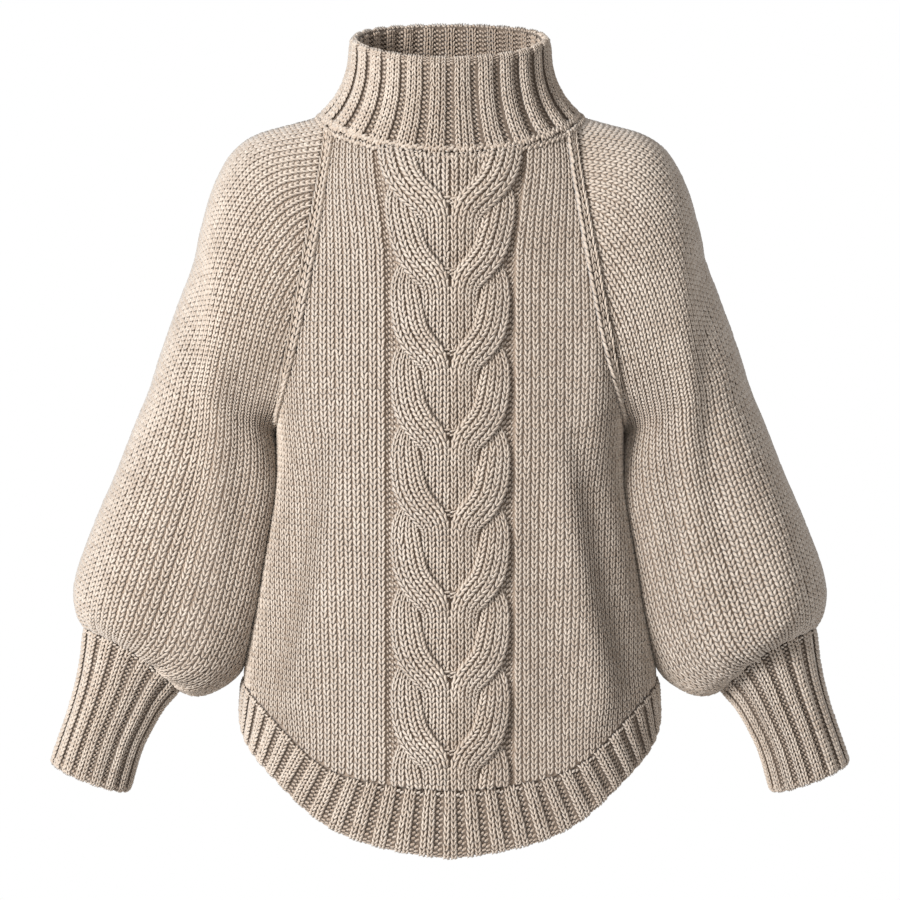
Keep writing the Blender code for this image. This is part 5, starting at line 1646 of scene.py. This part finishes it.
@dataclass
class RibbedPiece:
    """A collar, cuff or hem band: raised ribs of knit columns between purl grooves."""

    name: str
    seed: int
    skin: Skin
    ribs: int
    rise: float
    columns: tuple[float, ...]          # edges of the columns in one rib, of which the first holds the groove
    hand: Hand = Hand.LEFT
    closed: bool = True
    inside_reach: float = EDGE_REACH
    held: str = "hung"
    edge_rise: float = 0.7              # how far the cloth stands up all along the open edge, in ribs' rises
    edge_ease: float = 8.0              # above the edge: where the ribs start to even out
    edge_share: float = 0.75            # how much they do
    seam_share: float = 0.4             # how much lower the ribs are at the seam
    seam_ease: float = 7.0              # and how far from it that shows
    fullness: float = 1.06              # how much higher the ribs are worked than they look
    stitch_power: float = 0.75          # how narrow the grooves are between the stitches
    shell_power: float = 1.1            # and in the shell under them
    shell_share: float = 0.93           # how high the shell's ribs are, in the stitches' ribs
    first_row: float = 0.4              # from the seam

    def __post_init__(self) -> None:
        """Measure the piece."""
        self.coat = Coat(self.name + "_stitches", self.seed)
        points = self.skin.points
        self.length = float(np.linalg.norm(np.diff(points, axis=0), axis=-1).sum(axis=0).mean())
        self.around = float(row_runs(points)[:, -1].max())
        self.end_way = unit(points[-1] - points[-2])

    def ribbed(self, turn: np.ndarray, power: float) -> np.ndarray:
        """How far the cloth stands up at turns, from 0 in a groove; a high power widens the grooves."""
        wave = np.abs(np.sin(math.pi * turn))
        return self.fullness * (self.rise + RIB_SINK) * wave ** power - RIB_SINK

    def stations(self, step: float, first: float) -> list[tuple[float, float, float]]:
        """Places along the cloth, round its open edge and up its inside.

        Args:
            step: Space between them.
            first: Where the first one is, from the seam.

        Returns:
            For each, the way along the piece, round the edge (0 outside to 1 inside) and back.
        """
        radius = (WALL + self.edge_rise * self.rise) / 2.0
        found = [(place, 0.0, 0.0) for place in np.arange(first, self.length - 0.3 * step, step)]
        turns = max(2, round(math.pi * radius / step))
        found += [(self.length, turn, 0.0) for turn in np.linspace(0.0, 1.0, turns + 1)]
        found += [(self.length, 1.0, back) for back in np.arange(step, self.inside_reach, step)]
        return found

    def wrap(
        self, station: tuple[float, float, float], shares: np.ndarray, rise: np.ndarray
    ) -> tuple[np.ndarray, np.ndarray]:
        """Points and outward ways of one row line.

        Args:
            station: The row line's place, as stations gives it.
            shares: Shares across the piece.
            rise: How far the ribs stand up there.

        Returns:
            The points and their outward ways.
        """
        along, turn, back = station
        base, out = self.skin.line((along - back) / self.length, shares)
        edge = smooth_step((along - self.length + self.edge_ease) / self.edge_ease)
        high = rise + (self.edge_rise * self.rise - rise) * self.edge_share * edge
        high = high - self.seam_share * np.maximum(rise, 0.0) * (1.0 - smooth_step(along / self.seam_ease))
        if turn == 0.0 and back == 0.0:
            return base + out * high[:, None], out
        columns = shares * (len(self.end_way) - 1)
        last = lattice_sample(self.end_way[None].repeat(2, axis=0), 0.0 * shares, columns)
        way = out * math.cos(math.pi * turn) + last * math.sin(math.pi * turn)
        points = base + out * ((high - WALL) / 2.0)[:, None] + way * ((WALL + high) / 2.0)[:, None]
        return points, unit(way)

    def edges(self) -> tuple[np.ndarray, np.ndarray]:
        """Turns of the column edges, counted in ribs, and the face that each column shows."""
        turns = np.array([rib + edge for rib in range(self.ribs) for edge in self.columns])
        turns = np.append(turns, self.ribs + self.columns[0])
        faces = np.array(([Stitch.PURL.value] + [Stitch.KNIT.value] * (len(self.columns) - 1)) * self.ribs)
        if not self.closed:
            turns = np.clip(turns, 0.0, self.ribs)
        return turns, faces

    def net(self, shown: Stitch) -> Net:
        """The columns on the ribs or in the grooves, over the piece's edge and a little up the inside."""
        turns, faces = self.edges()
        shares = np.mod(turns / self.ribs, 1.0) if self.closed else turns / self.ribs
        ribs = self.ribbed(turns, self.stitch_power)
        floor = np.full(len(turns), -0.5 * RIB_SINK)
        rows = []
        for station in self.stations(RIB_ROW_HEIGHT, self.first_row):
            in_groove = shown is Stitch.PURL and len(rows) > 0
            rows.append(self.wrap(station, shares, floor if in_groove else ribs))
        size = np.ones((len(rows) - 1, 1))
        shade = np.zeros(size.shape)
        # the yarn in the grooves is darkened with painted shade, all but the first row at the seam
        if shown is Stitch.PURL:
            shade += GROOVE_PAINTED_SHADE
            size[0], shade[0] = SEAM_SIZE, SEAM_SHADE
        return Net.of_rows(rows, np.where(faces == shown.value, faces, Stitch.NONE.value), size, shade)

    def shell_lattice(self) -> np.ndarray:
        """The shell's rows, from the seam over the open edge and back inside to the seam."""
        turns = np.linspace(0.0, self.ribs, self.ribs * 8 + 1)
        shares = turns / self.ribs
        rise = self.ribbed(turns, self.shell_power) * self.shell_share - GROUND_DEPTH
        step = self.length / 9.0
        places = [(place, 0.0, 0.0) for place in np.linspace(SEAM_GAP, self.length - 0.6 * step, 9)]
        places += [(self.length - 0.6, turn, 0.0) for turn in np.linspace(0.0, 1.0, 5)]
        rows = [self.wrap(place, shares, rise)[0] for place in places]
        for place in np.linspace(self.length - step, SEAM_GAP, 7):
            base, out = self.skin.line(place / self.length, shares)
            rows.append(base - out * WALL)
        rows.append(rows[0])
        return np.array(rows)

    def dress(self) -> list[bpy.types.Object]:
        """Build the shell and its stitches."""
        for shown in (Stitch.KNIT, Stitch.PURL):
            self.coat.knit(self.net(shown))
        lattice = self.shell_lattice()
        flat = (self.around * MM, self.length * MM)
        return RIBBED.dress(self.coat, lattice, flat, self.held, hand=self.hand, closed=self.closed)


@dataclass
class Collar(RibbedPiece):
    """The turtleneck, ribbed on both sides, with a double ridge along its seam."""

    panels: tuple[Skin, Skin, Skin] | None = None

    def inside_net(self) -> Net:
        """The ribs that show inside the back of the neck."""
        faces = (Stitch.KNIT.value, Stitch.KNIT.value, Stitch.PURL.value, Stitch.PURL.value)
        turns = np.arange(self.ribs * len(faces) + 1) / len(faces) - 0.25
        shares = np.mod(turns / self.ribs, 1.0)
        rise = COLLAR_INSIDE_RISE * np.cos(math.pi * turns) ** 2
        rows = []
        for back in np.arange(1.4, COLLAR_INSIDE_REACH, RIB_ROW_HEIGHT):
            base, out = self.skin.line(1.0 - back / self.length, shares)
            rows.append((base - out * (WALL + rise)[:, None], -out))
        # the collar's inside gets painted shade
        return Net.of_rows(rows, np.array(faces * self.ribs), shade=COLLAR_INSIDE_PAINTED_SHADE)

    def below_seam(self, angle: float, distance: float) -> tuple[np.ndarray, np.ndarray]:
        """A point of the panels below the neck seam.

        Args:
            angle: Its angle from the front centre.
            distance: How far below the seam it is.

        Returns:
            The point and its outward way.
        """
        front, sleeve, back = self.panels
        turn = min(angle, 2.0 * math.pi - angle)
        if turn <= RAGLAN_START:
            skin, share = front, 0.5 + 0.5 * turn / RAGLAN_START
        elif turn >= math.pi - RAGLAN_START:
            skin, share = back, 0.5 + 0.5 * (math.pi - turn) / RAGLAN_START
        else:
            skin, share = sleeve, (math.pi - RAGLAN_START - turn) / (math.pi - 2.0 * RAGLAN_START)
        point, out = skin.both(np.array([distance / TOP_ROW_HEIGHT]), np.array([share]))
        if angle > math.pi:
            point, out = mirrored(point), mirrored(out)
        return point[0], out[0]

    def ridge(self, above: float, below: float, lift: float) -> Net:
        """One line of bumps along the neck seam.

        Args:
            above: Its upper edge above the seam, along the collar, or minus for below it.
            below: Its lower edge, in the same way.
            lift: How far it stands up.

        Returns:
            The net of one row.
        """
        around = math.pi * (NECK_HALF_WIDTH + NECK_HALF_DEPTH)
        shares = np.linspace(0.0, 1.0, round(around / RIDGE_STITCH) + 1)
        rows = []
        for level in (above, below):
            if level >= 0.0:
                rows.append(self.skin.line(level / self.length, shares))
            else:
                found = [self.below_seam(float(share) * 2.0 * math.pi, -level) for share in shares]
                rows.append(tuple(np.array(part) for part in zip(*found)))
        mean = unit(rows[0][1] + rows[1][1])
        faces = np.full(len(shares) - 1, Stitch.PURL.value)
        return Net.of_rows([(points, mean) for points, _ in rows], faces, RIDGE_SIZE).lifted(lift)

    def dress(self) -> list[bpy.types.Object]:
        """Build the collar with its inside and its ridges."""
        self.coat.knit(self.inside_net())
        for above, below, lift in RIDGES:
            self.coat.knit(self.ridge(above, below, lift))
        return super().dress()


# ---------------------------------------------------------------- the studio


@dataclass(frozen=True)
class Studio:
    """Soft light from the upper left, a white surround and a pale floor."""

    key_place: tuple[float, float, float] = (-1.95, -2.4, 0.65)
    key_size: float = 0.9
    key_power: float = 122.0
    fill_place: tuple[float, float, float] = (2.2, -2.0, 0.2)
    fill_size: float = 1.8
    fill_power: float = 4.0
    ambient: float = 0.47               # how bright the light from all round is, next to the white behind
    floor_half_width: float = 1.1
    floor_height: float = -1.15

    def lamp(self, name: str, place: tuple[float, float, float], size: float, power: float) -> None:
        """Add a soft square lamp that looks at the garment's middle."""
        data = bpy.data.lights.new(name, "AREA")
        data.size = size
        data.energy = power
        made = scene_object(name, data)
        made.location = place
        x, y, z = np.array(Camera.target) * MM - np.array(place)
        made.rotation_euler = (math.atan2(math.hypot(x, y), -z), 0.0, math.atan2(-x, y))

    def surround(self) -> None:
        """Make what the camera sees behind the garment white, and the light from all round it dimmer."""
        world = bpy.data.worlds.new("white_surround")
        bpy.context.scene.world = world
        world.use_nodes = True
        graph = Graph(world.node_tree)
        seen = graph.node("ShaderNodeLightPath")
        strength = seen * (1.0 - self.ambient) + self.ambient
        light = graph.node("ShaderNodeBackground", {}, {"Color": (1.0, 1.0, 1.0, 1.0), "Strength": strength})
        graph.node("ShaderNodeOutputWorld", {}, {"Surface": light})

    def floor(self) -> None:
        """Lay a pale floor below the picture's frame."""
        slab = bmesh.new()
        bmesh.ops.create_grid(slab, x_segments=1, y_segments=1, size=self.floor_half_width)
        bmesh.ops.translate(slab, verts=slab.verts[:], vec=(0.0, 0.0, self.floor_height))
        mesh = bpy.data.meshes.new("studio_floor")
        slab.to_mesh(mesh)
        slab.free()
        finish = bpy.data.materials.new("pale_floor")
        finish.use_nodes = True
        finish.node_tree.nodes["Principled BSDF"].inputs["Base Color"].default_value = (0.8, 0.8, 0.8, 1.0)
        mesh.materials.append(finish)
        scene_object("studio_floor", mesh)

    def build(self) -> None:
        """Set up the light and the surround."""
        self.surround()
        self.floor()
        self.lamp("key", self.key_place, self.key_size, self.key_power)
        self.lamp("fill", self.fill_place, self.fill_size, self.fill_power)
        bpy.context.scene.view_settings.view_transform = "Standard"


@dataclass(frozen=True)
class Camera:
    """The camera of the photograph."""

    target = (0.0, 0.0, -279.0)
    distance: float = 3600.0
    elevation: float = 5.0
    lens: float = 160.0

    def build(self) -> None:
        """Place the camera."""
        data = bpy.data.cameras.new("camera")
        data.lens = self.lens
        data.sensor_width = 36.0
        made = scene_object("camera", data)
        rise = math.radians(self.elevation)
        x, y, z = self.target
        place = (x, y - self.distance * math.cos(rise), z + self.distance * math.sin(rise))
        made.location = [value * MM for value in place]
        made.rotation_euler = (math.pi / 2.0 - rise, 0.0, 0.0)
        bpy.context.scene.camera = made


# ---------------------------------------------------------------- putting it together


def collar_skin() -> Skin:
    """The collar's outer face, from its seam to its rim."""
    rise, angle = np.linspace(0.0, 1.0, 25), np.linspace(0.0, 2.0 * math.pi, 241)
    rise, angle = np.meshgrid(rise, angle, indexing="ij")
    return Skin(collar_point(rise, angle), ring_from=0)


def hem_skin(side: Side) -> Skin:
    """A hem band's outer face, from its seam to its edge."""
    shares = np.linspace(-1.0, 1.0, 249)
    return Skin(np.array([hem_point(side, place, shares) for place in np.linspace(0.0, 1.0, 9)]))


def main() -> None:
    """Build every piece in order and report it."""
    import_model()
    sleeve = SleeveForm()
    front = CableFront()
    back = Panel(Side.BACK, 12)
    collar = Collar(
        "collar", 13, collar_skin(), COLLAR_RIBS, COLLAR_RIB_RISE, COLLAR_COLUMNS,
        inside_reach=COLLAR_EDGE_REACH, panels=(front.form.skin, sleeve.skin, back.form.skin),
    )
    cuff = Skin(cuff_rows(np.linspace(0.0, 1.0, 33)), ring_from=0)
    pieces = [collar, front, back]
    for side, seed in ((Side.FRONT, 14), (Side.BACK, 15)):
        name = "hem_" + side.name.lower()
        skin = hem_skin(side)
        pieces.append(RibbedPiece(name, seed, skin, HEM_RIBS, HEM_RIB_RISE, HEM_COLUMNS, closed=False))
    for hand, seed in ((Hand.LEFT, 16), (Hand.RIGHT, 18)):
        pieces.append(Sleeve(hand, seed, sleeve))
        name = "cuff_" + hand.name.lower()
        pieces.append(
            RibbedPiece(name, seed + 1, cuff, CUFF_RIBS, CUFF_RIB_RISE, CUFF_COLUMNS, hand, held="gathered")
        )
    for piece in pieces:
        for made in piece.dress():
            LOG.info("%s: %d faces", made.name, len(made.data.polygons))
    Studio().build()
    Camera().build()


if __name__ == "__main__":
    logging.basicConfig(level=logging.INFO, format="%(name)s %(message)s")
    main()
